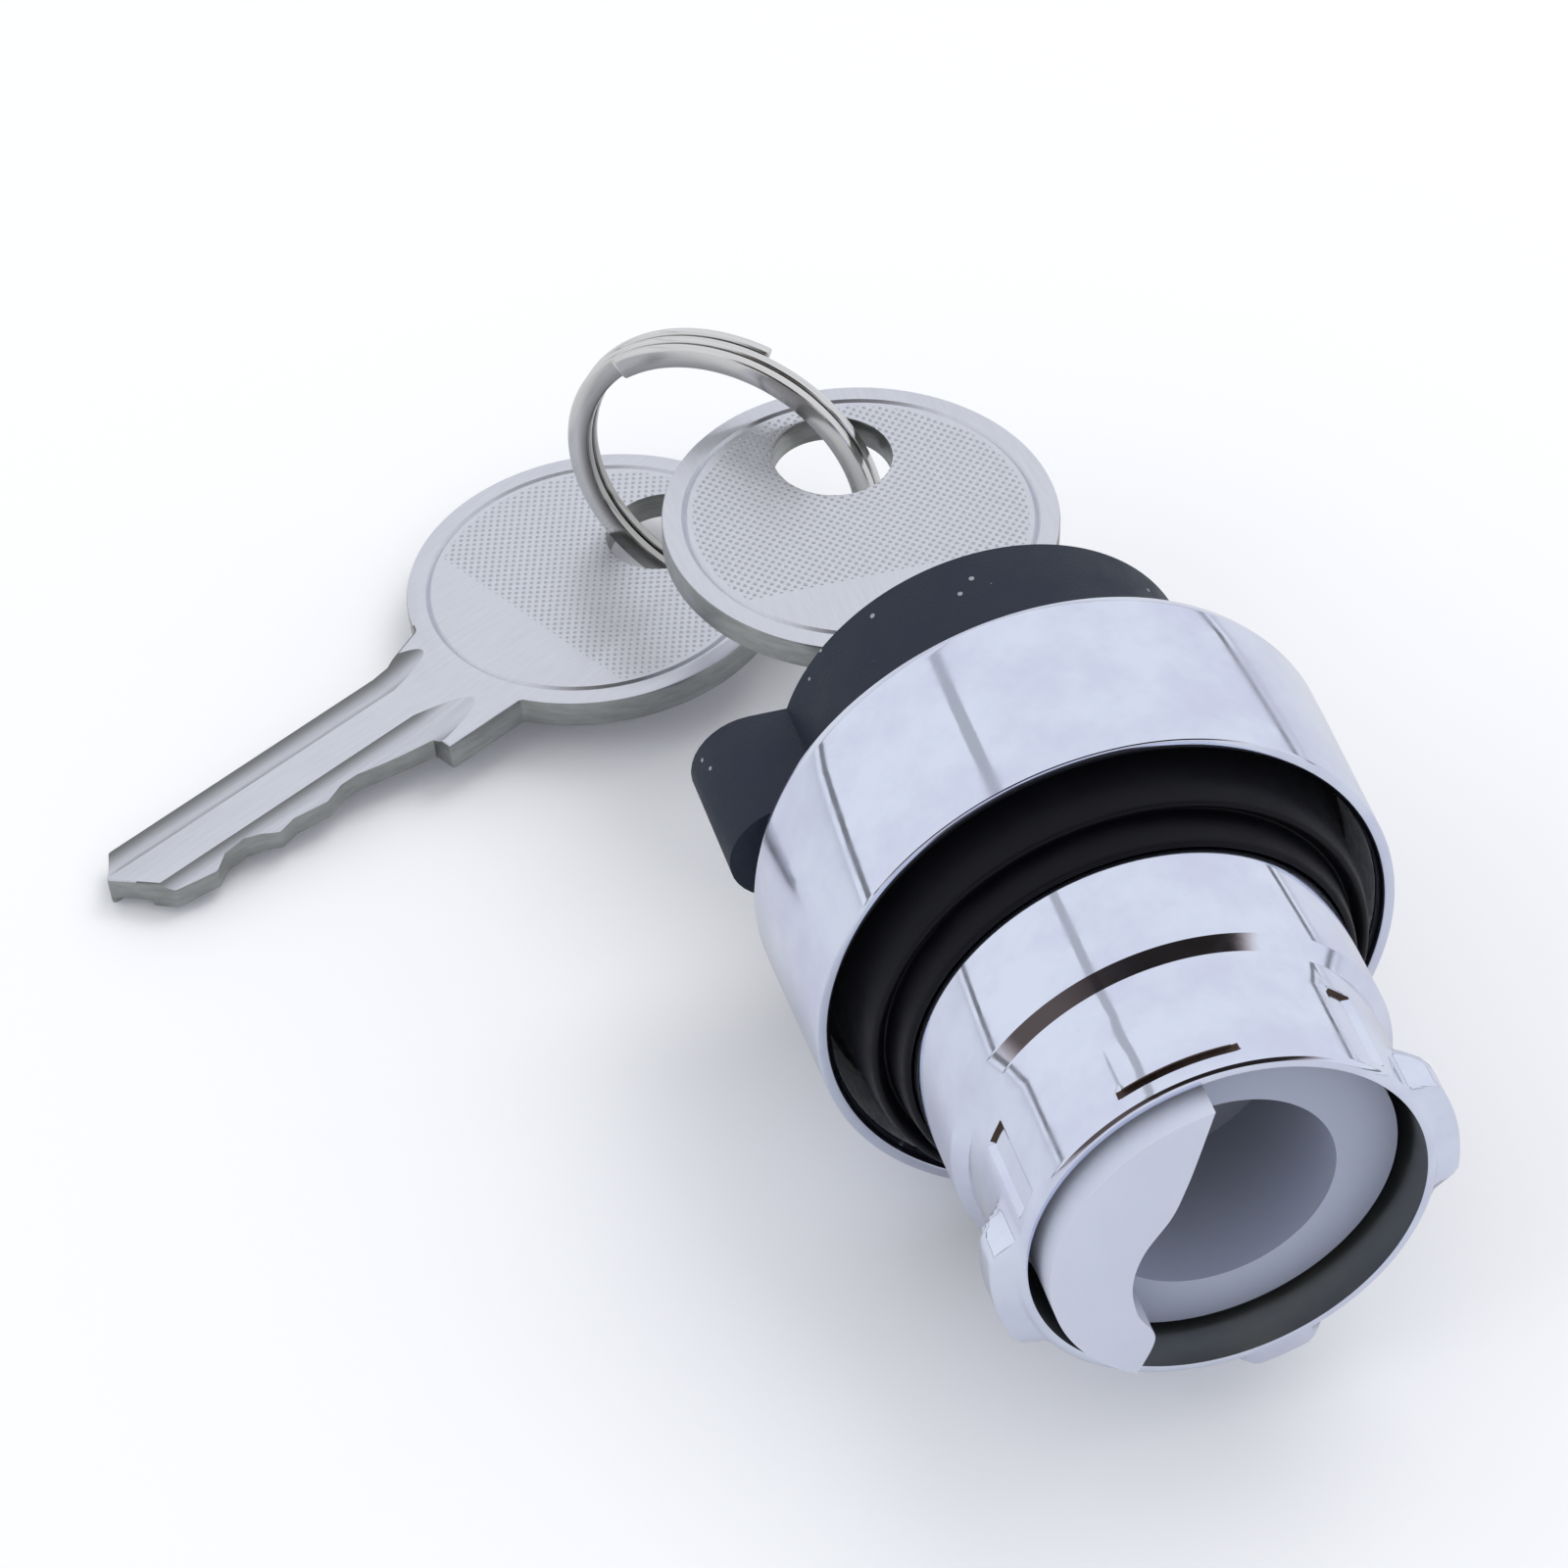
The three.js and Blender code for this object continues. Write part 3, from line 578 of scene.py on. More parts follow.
def dimple_group():
    """Staggered round dots over a key's bow, short of its rim and plain band, as a mask."""
    group, into, out = new_group("Bow Dimples", ("Mask",), Pitch=0.0375)
    along, across, flat = split(group, into["Vector"])
    waves = []
    for operation in ("ADD", "SUBTRACT"):
        diagonal = calc(group, operation, along, across)
        phase = calc(group, "DIVIDE", diagonal, into["Pitch"])
        waves.append(calc(group, "COSINE", calc(group, "MULTIPLY", phase, math.pi * math.sqrt(2))))
    dots = remap(group, calc(group, "ADD", *waves), 0.5, 1.5)
    inside = remap(group, length_of(group, along, across), *DOTS_RIM, 1, 0)
    short = remap(group, along, *DOTS_END, 1, 0)
    field = calc(group, "MULTIPLY", inside, short)
    group.links.new(calc(group, "MULTIPLY", dots, field), out["Mask"])


# ---------- materials ----------
class Finish:
    """A material under way: its tree, its shader and the shared groups placed in it."""

    def __init__(self, name, **values):
        self.material = bpy.data.materials.new(name)
        self.material.use_nodes = True
        self.tree = self.material.node_tree
        self.shader = self.tree.nodes["Principled BSDF"]
        places = self.tree.nodes.new("ShaderNodeTexCoord").outputs
        self.place, self.uv = places["Object"], places["UV"]
        for key, value in values.items():
            self.shader.inputs[key.replace("_", " ")].default_value = value

    def group(self, name, vector=None, **values):
        node = self.tree.nodes.new("ShaderNodeGroup")
        node.node_tree = bpy.data.node_groups[name]
        self.tree.links.new(vector or self.place, node.inputs["Vector"])
        for key, value in values.items():
            node.inputs[key.replace("_", " ")].default_value = value
        return node.outputs

    def link(self, socket, name):
        self.tree.links.new(socket, self.shader.inputs[name])

    def mix(self, mask, first, second):
        return mix(self.tree, mask, first, second)

    def colour(self, mask, first, second):
        self.link(self.mix(mask, first, second), "Base Color")

    def haze(self, scale, low, high):
        """Gives the shader a cloudy roughness and returns the clouds' mask."""
        haze = self.group("Surface Haze", Scale=scale, Low=low, High=high)
        self.link(haze["Roughness"], "Roughness")
        return haze["Mask"]

    def lines(self, stretch, vector=None):
        return self.group("Hairlines", vector, Stretch=stretch, Scale=1)["Mask"]

    def bump(self, height, strength, distance):
        node = self.tree.nodes.new("ShaderNodeBump")
        for name, value in (("Height", height), ("Strength", strength), ("Distance", distance)):
            connect(self.tree, value, node.inputs[name])
        self.link(node.outputs[0], "Normal")

    def grain(self, fine, wave, share, strength, distance):
        group = self.group("Fine Grain", Grain_Scale=fine, Wave_Scale=wave, Wave_Share=share)
        self.bump(group["Height"], strength, distance)


def tinted(base, *factors):
    """A colour times one factor, or times one for each channel."""
    factors = factors * 3 if len(factors) == 1 else factors
    return tuple(min(1, channel * factor) for channel, factor in zip(base, factors))


def moulded_finish(name, base, speck, rough, grain_scale, strength, rarity=0.84, gloss=0.28):
    """A moulded plastic or rubber with grain and a few specks of dust."""
    finish = Finish(name, Metallic=0, Specular_IOR_Level=gloss)
    body = finish.mix(finish.haze(420, *rough), base, tinted(base, 1.18))
    dust = finish.group("Dust Specks", Scale=1300, Size=0.19, Rarity=rarity)
    finish.colour(dust["Mask"], body, speck)
    finish.grain(grain_scale, 260, 0.6, strength, 0.00004)


def nylon_finish(base):
    """Milky nylon, palest on the lobe, with painted shade on the low annulus and down its deep bore."""
    finish = Finish(
        "white_nylon", Metallic=0, Specular_IOR_Level=0.28, Subsurface_Weight=0.12, Subsurface_Scale=0.0006
    )
    tree = finish.tree
    x, y, z = split(tree, finish.place)
    # Painted shade: the colour darkens down the bore, deepest towards its floor.
    inside = calc(tree, "LESS_THAN", length_of(tree, x, z), mm(ROTOR_BORE_R + 0.03))
    depth = remap(tree, y, mm(ROTOR_FLOOR), mm(ROTOR_REAR + 0.6), 1, 0)
    body = finish.mix(finish.haze(160, 0.40, 0.48), base, tinted(base, 1.03))
    # Painted shade: the annulus and the low walls round the lobe darken towards the rotor's rear face.
    proud = remap(tree, y, mm(ROTOR_REAR + ROTOR_DISH), mm(LOBE_END - 0.3))
    shaded = finish.mix(proud, tinted(base, 0.63, 0.65, 0.70), body)
    finish.colour(calc(tree, "MULTIPLY", inside, depth), shaded, tinted(base, 0.46))
    finish.grain(2600, 200, 0.6, 0.08, 0.00004)


def ring_finish(base):
    """Plated flat wire, drawn round the ring and darker on its inner side."""
    finish = Finish("ring_wire", Metallic=1)
    tree = finish.tree
    centred = tree.nodes.new("ShaderNodeMapping")
    centred.vector_type = "TEXTURE"
    centred.inputs["Location"].default_value = spot(*RING_AT)
    centred.inputs["Rotation"].default_value = [math.radians(angle) for angle in RING_TURN]
    tree.links.new(finish.place, centred.inputs["Vector"])
    x, y, z = split(tree, centred.outputs[0])
    radius = length_of(tree, x, y)
    section = tree.nodes.new("ShaderNodeCombineXYZ")
    tree.links.new(radius, section.inputs["X"])
    tree.links.new(z, section.inputs["Y"])
    lines = finish.lines((7000, 5000, 1), section.outputs[0])
    drawn = finish.mix(lines, tinted(base, 0.92), tinted(base, 1.04))
    inner = remap(tree, radius, mm(RING_R - RING_WIRE * 0.9), mm(RING_R - RING_WIRE * 0.4), 1, 0)
    finish.colour(inner, drawn, tinted(base, 0.6, 0.6, 0.58))
    finish.haze(300, 0.14, 0.22)
    finish.bump(lines, 0.1, 0.00002)


def nickel_finish(base, pitch):
    """Stamped dull nickel with a field of dots on the bow."""
    finish = Finish("dull_nickel", Metallic=1)
    finish.haze(260, 0.30, 0.36)
    lines = finish.lines((4, 46, 1), finish.uv)
    dots = finish.group("Bow Dimples", finish.uv, Pitch=pitch)["Mask"]
    plain = finish.mix(lines, tinted(base, 0.97), tinted(base, 1.03))
    finish.colour(dots, plain, tinted(base, 0.74, 0.73, 0.71))
    sunk = calc(finish.tree, "MULTIPLY", dots, -1)
    fine = calc(finish.tree, "MULTIPLY", lines, 0.03)
    finish.bump(calc(finish.tree, "ADD", sunk, fine), 0.7, 0.00006)


def hollow_finish(base):
    """Nickel in the blade's hollows, with painted shade along the back edge and along the foot of the land."""
    finish = Finish("hollow_nickel", Metallic=1)
    tree = finish.tree
    across = split(tree, finish.uv)["Y"]
    # Painted shade: darker along the hollow's back edge and along the foot of the land.
    back = remap(tree, across, *PAINTED_SHADE_BACK, 1, 0)
    beyond = calc(tree, "GREATER_THAN", across, LAND_MIDDLE)
    foot = calc(tree, "MULTIPLY", remap(tree, across, *PAINTED_SHADE_FOOT, 1, 0), beyond)
    bright = finish.mix(finish.lines((3, 60, 1), finish.uv), tinted(base, 0.84), tinted(base, 0.96))
    finish.colour(calc(tree, "ADD", back, foot, clamp=True), bright, tinted(base, 0.27, 0.27, 0.25))
    finish.haze(260, 0.28, 0.36)


def metal_finish(name, base, rough, stretch):
    """Drawn or machined metal with hairlines."""
    finish = Finish(name, Metallic=1)
    finish.haze(700, *rough)
    lines = finish.lines(stretch)
    finish.colour(lines, tinted(base, 0.86), tinted(base, 1.1))
    finish.bump(lines, 0.15, 0.00003)


def make_finishes(colours):
    """Builds the shared groups and every material once."""
    for build in (haze_group, grain_group, dust_group, scratch_group, dimple_group):
        build()
    pitch = bpy.context.scene.key_switch_sizes.dimple_pitch * 1000 / KEY_UV_UNIT
    for name, base, metallic, haze, clouded, grain in (
        ("bright_chrome", colours.chrome, 1, (210, 0.04, 0.13), (0.90, 0.875, 0.93),
         (900, 110, 1.4, 0.10, 0.00002)),
        ("cast_plate", colours.cast, 0.2, (900, 0.34, 0.55), (1.5,), (3800, 900, 0.8, 0.7, 0.00008)),
        ("sleeve_bore", colours.bore, 1, (120, 0.30, 0.38), (1.18, 1.16, 1.04),
         (2400, 200, 0.5, 0.12, 0.00003)),
    ):
        finish = Finish(name, Metallic=metallic)
        finish.colour(finish.haze(*haze), base, tinted(base, *clouded))
        finish.grain(*grain)
    moulded_finish("cap_plastic", colours.black, DUST, (0.52, 0.66), 5200, 0.55)
    moulded_finish("gasket_rubber", colours.rubber, DUST, (0.40, 0.52), 2400, 0.12, 0.96, 0.16)
    moulded_finish("pointer_ink", colours.ink, tinted(colours.ink, 0.8), (0.5, 0.6), 3000, 0.15, 0.98)
    nylon_finish(colours.nylon)
    nickel_finish(colours.nickel, pitch)
    hollow_finish(colours.nickel)
    ring_finish(colours.ring)
    metal_finish("worn_nickel", WORN_EDGE, (0.30, 0.42), (500, 500, 2500))
    # Painted shade for the pad's slot and the grooves' end walls.
    metal_finish("recess_plate", PAINTED_RECESS_SHADE, (0.22, 0.34), (700, 300, 700))
    metal_finish("lock_brass", colours.brass, (0.24, 0.38), (3500, 300, 3500))
    metal_finish("spring_steel", colours.steel, (0.28, 0.40), (2500, 600, 2500))


class PieceOperator(bpy.types.Operator):
    """Shared by the operators that model pieces."""

    bl_options = {"REGISTER", "UNDO"}

    @property
    def sizes(self):
        return bpy.context.scene.key_switch_sizes


class KEYSWITCH_OT_finishes(PieceOperator):
    """Make every material and the shader groups they share"""

    bl_idname = "keyswitch.finishes"
    bl_label = "Finishes"

    def execute(self, context):
        make_finishes(context.scene.key_switch_finishes)
        return {"FINISHED"}


class KEYSWITCH_OT_bezel(PieceOperator):
    """Model the chromed bezel, with its rolled rear rim and rough inner wall"""

    bl_idname = "keyswitch.bezel"
    bl_label = "Bezel"

    def execute(self, context):
        grip = SLEEVE_R + 0.3
        piece = turn("bezel_shell", [
            (BEZEL_OPENING_R, BEZEL_FRONT), (BEZEL_R - 0.9, BEZEL_FRONT), (BEZEL_R - 0.25, BEZEL_FRONT + 0.25),
            (BEZEL_R, BEZEL_FRONT + 0.9), (BEZEL_R, BEZEL_FRONT + 2.5), (BEZEL_REAR_R, 0),
            (BEZEL_BORE_R + 0.28, 0), (BEZEL_BORE_R + 0.18, -0.35), (BEZEL_BORE_R, -0.5),
            (BEZEL_BORE_R, BEZEL_HUB_REAR), (grip, BEZEL_HUB_REAR), (grip, BEZEL_FRONT + BEZEL_FACE_WALL),
            (BEZEL_OPENING_R, BEZEL_FRONT + BEZEL_FACE_WALL),
        ], self.sizes.facets)
        round_edges(piece, self.sizes.metal_edge, 3, 14)
        smooth(piece)
        fasten(piece, "bezel", "housing", "chrome", "bright_chrome", "cast_plate")
        for face in piece.data.polygons:
            middle = face.center
            radius = math.hypot(middle.x, middle.z)
            if radius < mm(BEZEL_BORE_R + 0.02) and middle.y > mm(BEZEL_FRONT + BEZEL_FACE_WALL):
                face.material_index = 1
        return {"FINISHED"}


class KEYSWITCH_OT_sleeve(PieceOperator):
    """Model the body sleeve with its waist, bayonet lugs, ramped pad and two grooves"""

    bl_idname = "keyswitch.sleeve"
    bl_label = "Body sleeve"

    def press(self, piece, at, span, start, end, radius):
        """Moves a patch of the tail's wall to another radius, and its neighbours become sloped sides."""
        def in_patch(vertex):
            place = vertex.co
            on_wall = abs(math.hypot(place.x, place.z) - mm(TAIL_R)) < mm(0.01)
            return on_wall and within(place, at, span) and mm(start) < place.y < mm(end)

        edit(piece)
        pick(piece, "VERT", in_patch)
        share = radius / TAIL_R
        resize((share, 1, share))
        leave_edit()

    def execute(self, context):
        chamfer = 0.2
        slope = self.sizes.lug_slope * 1000
        slot_start, slot_floor, slot_end = PAD_SLOT
        rings = (
            TAIL_START, GROOVE_START, GROOVE_START + PRESS_WALL, PAD_START, PAD_START + PRESS_WALL, LUG_START,
            *(LUG_START + slope * run for off, run, share in reversed(LUG_STEPS)),
            slot_start, slot_floor, slot_end, GROOVE_END - PRESS_WALL, GROOVE_END, LUG_END - PRESS_WALL, LUG_END,
        )
        piece = turn("sleeve_shell", [
            (SLEEVE_BORE_R, SLEEVE_FRONT), (SLEEVE_R, SLEEVE_FRONT), (SLEEVE_R, WAIST),
            *((TAIL_R, y) for y in rings), (TAIL_R - chamfer, SLEEVE_REAR),
            (REAR_BORE_R, SLEEVE_REAR), (REAR_BORE_R, REAR_BORE_START), (SLEEVE_BORE_R, REAR_BORE_START),
            (SLEEVE_BORE_R, BALL_TRACK[1]), (BALL_TRACK_R, BALL_TRACK[1]), (BALL_TRACK_R, BALL_TRACK[0]),
            (SLEEVE_BORE_R, BALL_TRACK[0]), (SLEEVE_BORE_R, WASHER_SHELF[1]), (WASHER_SHELF_R, WASHER_SHELF[1]),
            (WASHER_SHELF_R, WASHER_SHELF[0]), (SLEEVE_BORE_R, WASHER_SHELF[0]),
        ], self.sizes.facets)
        near = 0.01
        for at, span in LUGS:
            for narrower, run, share in LUG_STEPS:
                radius = TAIL_R + (LUG_R - TAIL_R) * share
                self.press(piece, at, span - narrower, LUG_START + slope * run - near, LUG_END - near, radius)
        self.press(piece, PAD_ANGLE, PAD_SPAN, slot_floor - near, slot_floor + near, TAIL_R - PAD_SLOT_DEPTH)
        self.press(piece, PAD_ANGLE, PAD_SPAN, PAD_START + near, slot_start + near, TAIL_R - PAD_DEPTH)
        for side in (-1, 1):
            at = PAD_ANGLE + side * GROOVE_OFFSET
            self.press(piece, at, GROOVE_SPAN, GROOVE_START + near, GROOVE_END - near, TAIL_R - GROOVE_DEPTH)
        round_edges(piece, self.sizes.metal_edge * 0.5, 2, 38)
        smooth(piece, 40)
        fasten(piece, "body_sleeve", "housing", "chrome", "bright_chrome", "sleeve_bore", "recess_plate")
        # Painted shade: faces in the pad's slot and on the grooves' end walls take the dark plate.
        for face in piece.data.polygons:
            radius = math.hypot(face.center.x, face.center.z) * 1000
            in_front = face.center.y < mm(WAIST)
            inner = radius < (BALL_TRACK_R if in_front else REAR_BORE_R) + 0.02
            face.material_index = 1 if inner else 2 if self.takes_painted_shade(face.center, radius) else 0
        return {"FINISHED"}

    def takes_painted_shade(self, middle, radius):
        """Whether a face lies down in the pad's slot or on an end wall of a groove, where the plate is painted
        dark as shade.
        """
        y = middle.y * 1000
        if within(middle, PAD_ANGLE, PAD_SPAN + 2):
            return PAD_SLOT[0] - 0.03 < y < PAD_SLOT[2] + 0.01 and radius < TAIL_R - 0.02
        at_end = min(abs(y - GROOVE_START), abs(y - GROOVE_END)) < PRESS_WALL + 0.05
        in_groove = any(within(middle, PAD_ANGLE + side * GROOVE_OFFSET, GROOVE_SPAN) for side in (-1, 1))
        return at_end and in_groove and radius < TAIL_R - 0.04


class KEYSWITCH_OT_gasket(PieceOperator):
    """Model the rubber panel gasket with its rib and its lip"""

    bl_idname = "keyswitch.gasket"
    bl_label = "Panel gasket"

    def execute(self, context):
        outer = BEZEL_BORE_R - 0.3
        piece = turn("gasket_ring", [
            (GASKET_BORE, GASKET_FRONT), (outer, GASKET_FRONT), (outer, -3.6), (12.8, -2.9), (12.58, -0.4),
            (12.45, 1.3), (12.28, 1.92), (12.05, 2.04), (11.8, 1.85), (11.55, 1.45), (11.42, 1.6), (11.32, 2.6),
            (11.2, 3.3), (11.05, 3.46), (GASKET_BORE, 3.46),
        ], self.sizes.facets)
        round_edges(piece, mm(0.14), 3, 18)
        smooth(piece, 40)
        fasten(piece, "panel_gasket", "housing", "rubber_black", "gasket_rubber")
        return {"FINISHED"}


class KEYSWITCH_OT_cap(PieceOperator):
    """Model the pointer cap with its nub, and the line inlaid in the nub"""

    bl_idname = "keyswitch.cap"
    bl_label = "Pointer cap"

    def execute(self, context):
        piece = turn("pointer_cap", [
            (CAP_BORE_R, CAP_SPIGOT_REAR), (CAP_BORE_R, CAP_RECESS_Y), (CAP_SPIGOT_R, CAP_RECESS_Y),
            (CAP_SPIGOT_R, CAP_FRONT), (CAP_R - 0.6, CAP_FRONT), (CAP_R, CAP_FRONT + 0.6), (CAP_R, NUB_REAR),
            (CAP_R, CAP_REAR), (CAP_SPIGOT_R, CAP_REAR), (CAP_SPIGOT_R, CAP_SPIGOT_REAR),
        ], self.sizes.facets)
        half = CAP_R * math.sin(math.radians(NUB_HALF_ANGLE))

        def under_nub(face):
            middle = face.calc_center_median()
            along = mm(CAP_FRONT + 0.6) < middle.y < mm(NUB_REAR)
            return along and within(middle, 0, 2 * NUB_HALF_ANGLE) and middle.x > mm(CAP_R - 1)

        edit(piece)
        pick(piece, "FACE", under_nub)
        extrude((mm(0.6), 0, 0))
        flat = mm(CAP_R + 0.6)
        resize((0, 1, 1), (flat, 0, 0))
        straight = mm(NUB_TIP - half) - flat
        extrude((straight, 0, 0))
        steps = 9
        for step in range(1, steps + 1):
            before, after = (math.radians(88) * i / steps for i in (step - 1, step))
            forward = mm(half) * (math.sin(after) - math.sin(before))
            extrude((forward, 0, 0))
            narrower = math.cos(after) / math.cos(before)
            resize((1, 1, narrower))
        select_all()
        bpy.ops.mesh.remove_doubles(threshold=mm(SAME_PLACE))
        face_outwards()
        low, high = (CAP_SPIGOT_R + 0.6, CAP_FRONT - 1, -0.6), (CAP_R - 0.7, CAP_FRONT + 0.5, 0.6)
        combine(piece, brick("mark_pocket", low, high))
        round_edges(piece, self.sizes.plastic_edge, 3, 32)
        smooth(piece)
        fasten(piece, "cap_knob", "rotor", "cap_black", "cap_plastic")
        low, high = (CAP_SPIGOT_R + 0.7, CAP_FRONT + 0.06, -0.5), (CAP_R - 0.8, CAP_FRONT + 0.45, 0.5)
        mark = brick("pointer_line", low, high)
        round_edges(mark, mm(0.08), 2)
        smooth(mark)
        fasten(mark, "pointer_mark", "rotor", "mark_white", "pointer_ink")
        return {"FINISHED"}


class KEYSWITCH_OT_face_plate(PieceOperator):
    """Model the lock's face plate with its keyway"""

    bl_idname = "keyswitch.face_plate"
    bl_label = "Lock face plate"

    def execute(self, context):
        low, high = (corner.y * 1000 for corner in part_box("lock_face_plate"))
        piece = turn("lock_face", [
            (0, low + 0.12), (PLATE_R - 1.5, low + 0.12), (PLATE_R - 1.3, low), (PLATE_R, low),
            (PLATE_R, high), (0, high),
        ], self.sizes.facets, closed=False)
        corners = (KEYWAY_X[0], low - 1, -KEYWAY_HALF), (KEYWAY_X[1], high + 1, KEYWAY_HALF)
        combine(piece, brick("keyway", *corners))
        round_edges(piece, mm(0.1), 3, 32)
        smooth(piece)
        fasten(piece, "lock_face_plate", "rotor", "chrome", "bright_chrome")
        return {"FINISHED"}


class KEYSWITCH_OT_cam_rotor(PieceOperator):
    """Model the white cam rotor with its deep bore and proud lobe"""

    bl_idname = "keyswitch.cam_rotor"
    bl_label = "Cam rotor"

    def execute(self, context):
        piece = turn("rotor_moulding", [
            (0, ROTOR_FRONT), (ROTOR_R, ROTOR_FRONT), (ROTOR_R, ROTOR_REAR),
            (ROTOR_BORE_R, ROTOR_REAR + ROTOR_DISH), (ROTOR_BORE_R, ROTOR_FLOOR), (0, ROTOR_FLOOR),
        ], self.sizes.facets, closed=False)
        inner = [Vector((x, z)) for x, z in self.lobe_inner()]
        outline = [Vector(p) for p in arc(ROTOR_R - 0.02, *LOBE_ARC, 60)] + inner
        points = [spot(p.x, ROTOR_FLOOR - 0.5, p.y) for p in outline]
        combine(piece, slab("lobe", points, spot(0, LOBE_END - ROTOR_FLOOR + 0.5, 0)), "UNION")
        round_edges(piece, self.sizes.plastic_edge, 3, 32)
        smooth(piece)
        fasten(piece, "cam_rotor", "rotor", "nylon_white", "white_nylon")
        return {"FINISHED"}

    def lobe_inner(self):
        """The lobe's inner wall as a smooth curve through its corners, from the arc's end to its start."""
        first, last = arc(ROTOR_R, *reversed(LOBE_ARC), 1)
        knots = [Vector(p) for p in (first, *LOBE_INNER, last)]
        points = []
        for i in range(len(knots) - 1):
            before = knots[max(i - 1, 0)]
            after = knots[min(i + 2, len(knots) - 1)]
            for step in range(8):
                points.append(catmull(before, knots[i], knots[i + 1], after, step / 8))
        return points[1:]


class KEYSWITCH_OT_keys(PieceOperator):
    """Model one key, then place a copy in the lock and another on the split ring"""

    bl_idname = "keyswitch.keys"
    bl_label = "Keys"

    def outline(self):
        """The key's edge in its own plane, with +a towards the tip."""
        back, front = (math.degrees(math.asin(b / KEY_BOW_R)) for b in KEY_NECK)
        points = arc(KEY_BOW_R, front, 360 + back, 110)
        points += [(KEY_NECK_END, KEY_BACK), (30.6, KEY_BACK), (KEY_TIP, -1.0), (30.0, 1.9), *KEY_CUTS]
        points += [(KEY_SHOULDER, KEY_STOP), (KEY_SHOULDER, KEY_NECK[1])]
        return [spot(a, b, -KEY_THICK / 2) for a, b in points]

    def cut_underside(self, piece):
        """A groove along the blade's underside, with sloped walls."""
        floor = KEY_GROOVE - KEY_THICK / 2
        low = (KEY_GROOVE_START, -KEY_GROOVE_HALF, -KEY_THICK / 2 - 1)
        cutter = brick("groove_cutter", low, (KEY_TIP + 1, KEY_GROOVE_HALF, floor))
        edit(cutter)
        pick(cutter, "FACE", lambda face: abs(face.calc_center_median().z - mm(floor)) < mm(0.05))
        narrower = 1 - KEY_GROOVE_SLOPE / (2 * KEY_GROOVE_HALF)
        resize((1, narrower, 1), spot(KEY_GROOVE_START, 0, floor))
        leave_edit()
        combine(piece, cutter)

    def cut_hollow(self, piece, start, middle):
        """A long round hollow in the blade's top face, which runs out in a taper towards the bow."""
        height = KEY_THICK / 2 + HOLLOW_R - HOLLOW_DEPTH
        length = KEY_TIP + 1 - start
        deselect()
        bpy.ops.mesh.primitive_cylinder_add(
            vertices=96, radius=mm(HOLLOW_R), depth=mm(length), rotation=(0, math.pi / 2, 0),
            location=spot(start + length / 2, middle, height),
        )
        cutter = apply_place("hollow_cutter")
        edit(cutter)
        pick(cutter, "FACE", lambda face: face.normal.x < -0.9)
        extrude((mm(-HOLLOW_RUN_OUT), 0, 0))
        narrower = (HOLLOW_R - HOLLOW_DEPTH) / HOLLOW_R
        centre = spot(start - HOLLOW_RUN_OUT, middle, height)
        resize((1, narrower, narrower), centre)
        leave_edit()
        combine(piece, cutter)

    def cut_rim_line(self, piece, side):
        """A fine V line stamped round the bow, just inside its rim."""
        face = side * KEY_THICK / 2
        width = 0.17
        corners = [(KEY_RIM_LINE_R - width, face + side * 0.02), (KEY_RIM_LINE_R, face - side * 0.15),
                   (KEY_RIM_LINE_R + width, face + side * 0.02)]
        line = turn("rim_line", corners, 120)
        line.data.transform(Matrix.Rotation(math.radians(90), 4, "X"))
        combine(piece, line)

    def face_kind(self, middle, normal):
        """Which finish a face of the key takes: 0 on the flats, 1 on the cut edges, 2 in the hollows."""
        if abs(normal.z) < 0.6:
            return 1
        below = abs(middle.z) < mm(KEY_THICK / 2 - 0.004)
        return 2 if below and middle.x > mm(KEY_BOW_R - 1) and normal.z > 0 else 0

    def map_face(self, piece):
        """Gives the key one flat UV map, in its own plane, for the stamped dots."""
        for old in [layer.name for layer in piece.data.uv_layers]:
            piece.data.uv_layers.remove(piece.data.uv_layers[old])
        layer = piece.data.uv_layers.new(name="key_face")
        for loop in piece.data.loops:
            place = piece.data.vertices[loop.vertex_index].co
            layer.data[loop.index].uv = (place.x * 1000 / KEY_UV_UNIT, place.y * 1000 / KEY_UV_UNIT)

    def execute(self, context):
        blank = slab("key_blank", self.outline(), spot(0, 0, KEY_THICK))
        deselect()
        bpy.ops.mesh.primitive_cylinder_add(
            vertices=64, radius=mm(KEY_HOLE_R), depth=mm(KEY_THICK * 2), location=spot(-KEY_HOLE_BACK, 0, 0)
        )
        combine(blank, apply_place("bow_hole"))
        self.cut_underside(blank)
        round_edges(blank, mm(0.12), 2, 40)
        for start, middle in HOLLOWS:
            self.cut_hollow(blank, start, middle)
        for side in (1, -1):
            self.cut_rim_line(blank, side)
        self.map_face(blank)
        kinds = [self.face_kind(face.center, face.normal) for face in blank.data.polygons]
        placed = (
            ("lock_key", LOCK_KEY_TURN, LOCK_KEY_AT, "key_in_lock", "key"),
            ("ring_key", SPARE_KEY_TURN, SPARE_KEY_AT, "spare_key", "spare"),
        )
        for name, turned, at, node, body in placed:
            key = blank.copy()
            key.data = blank.data.copy()
            key.name = key.data.name = name
            context.scene.collection.objects.link(key)
            move_mesh(key, turned, at)
            smooth(key)
            fasten(key, node, body, "key_nickel", "dull_nickel", "worn_nickel", "hollow_nickel")
            for face, kind in zip(key.data.polygons, kinds):
                face.material_index = kind
        bpy.data.objects.remove(blank)
        return {"FINISHED"}


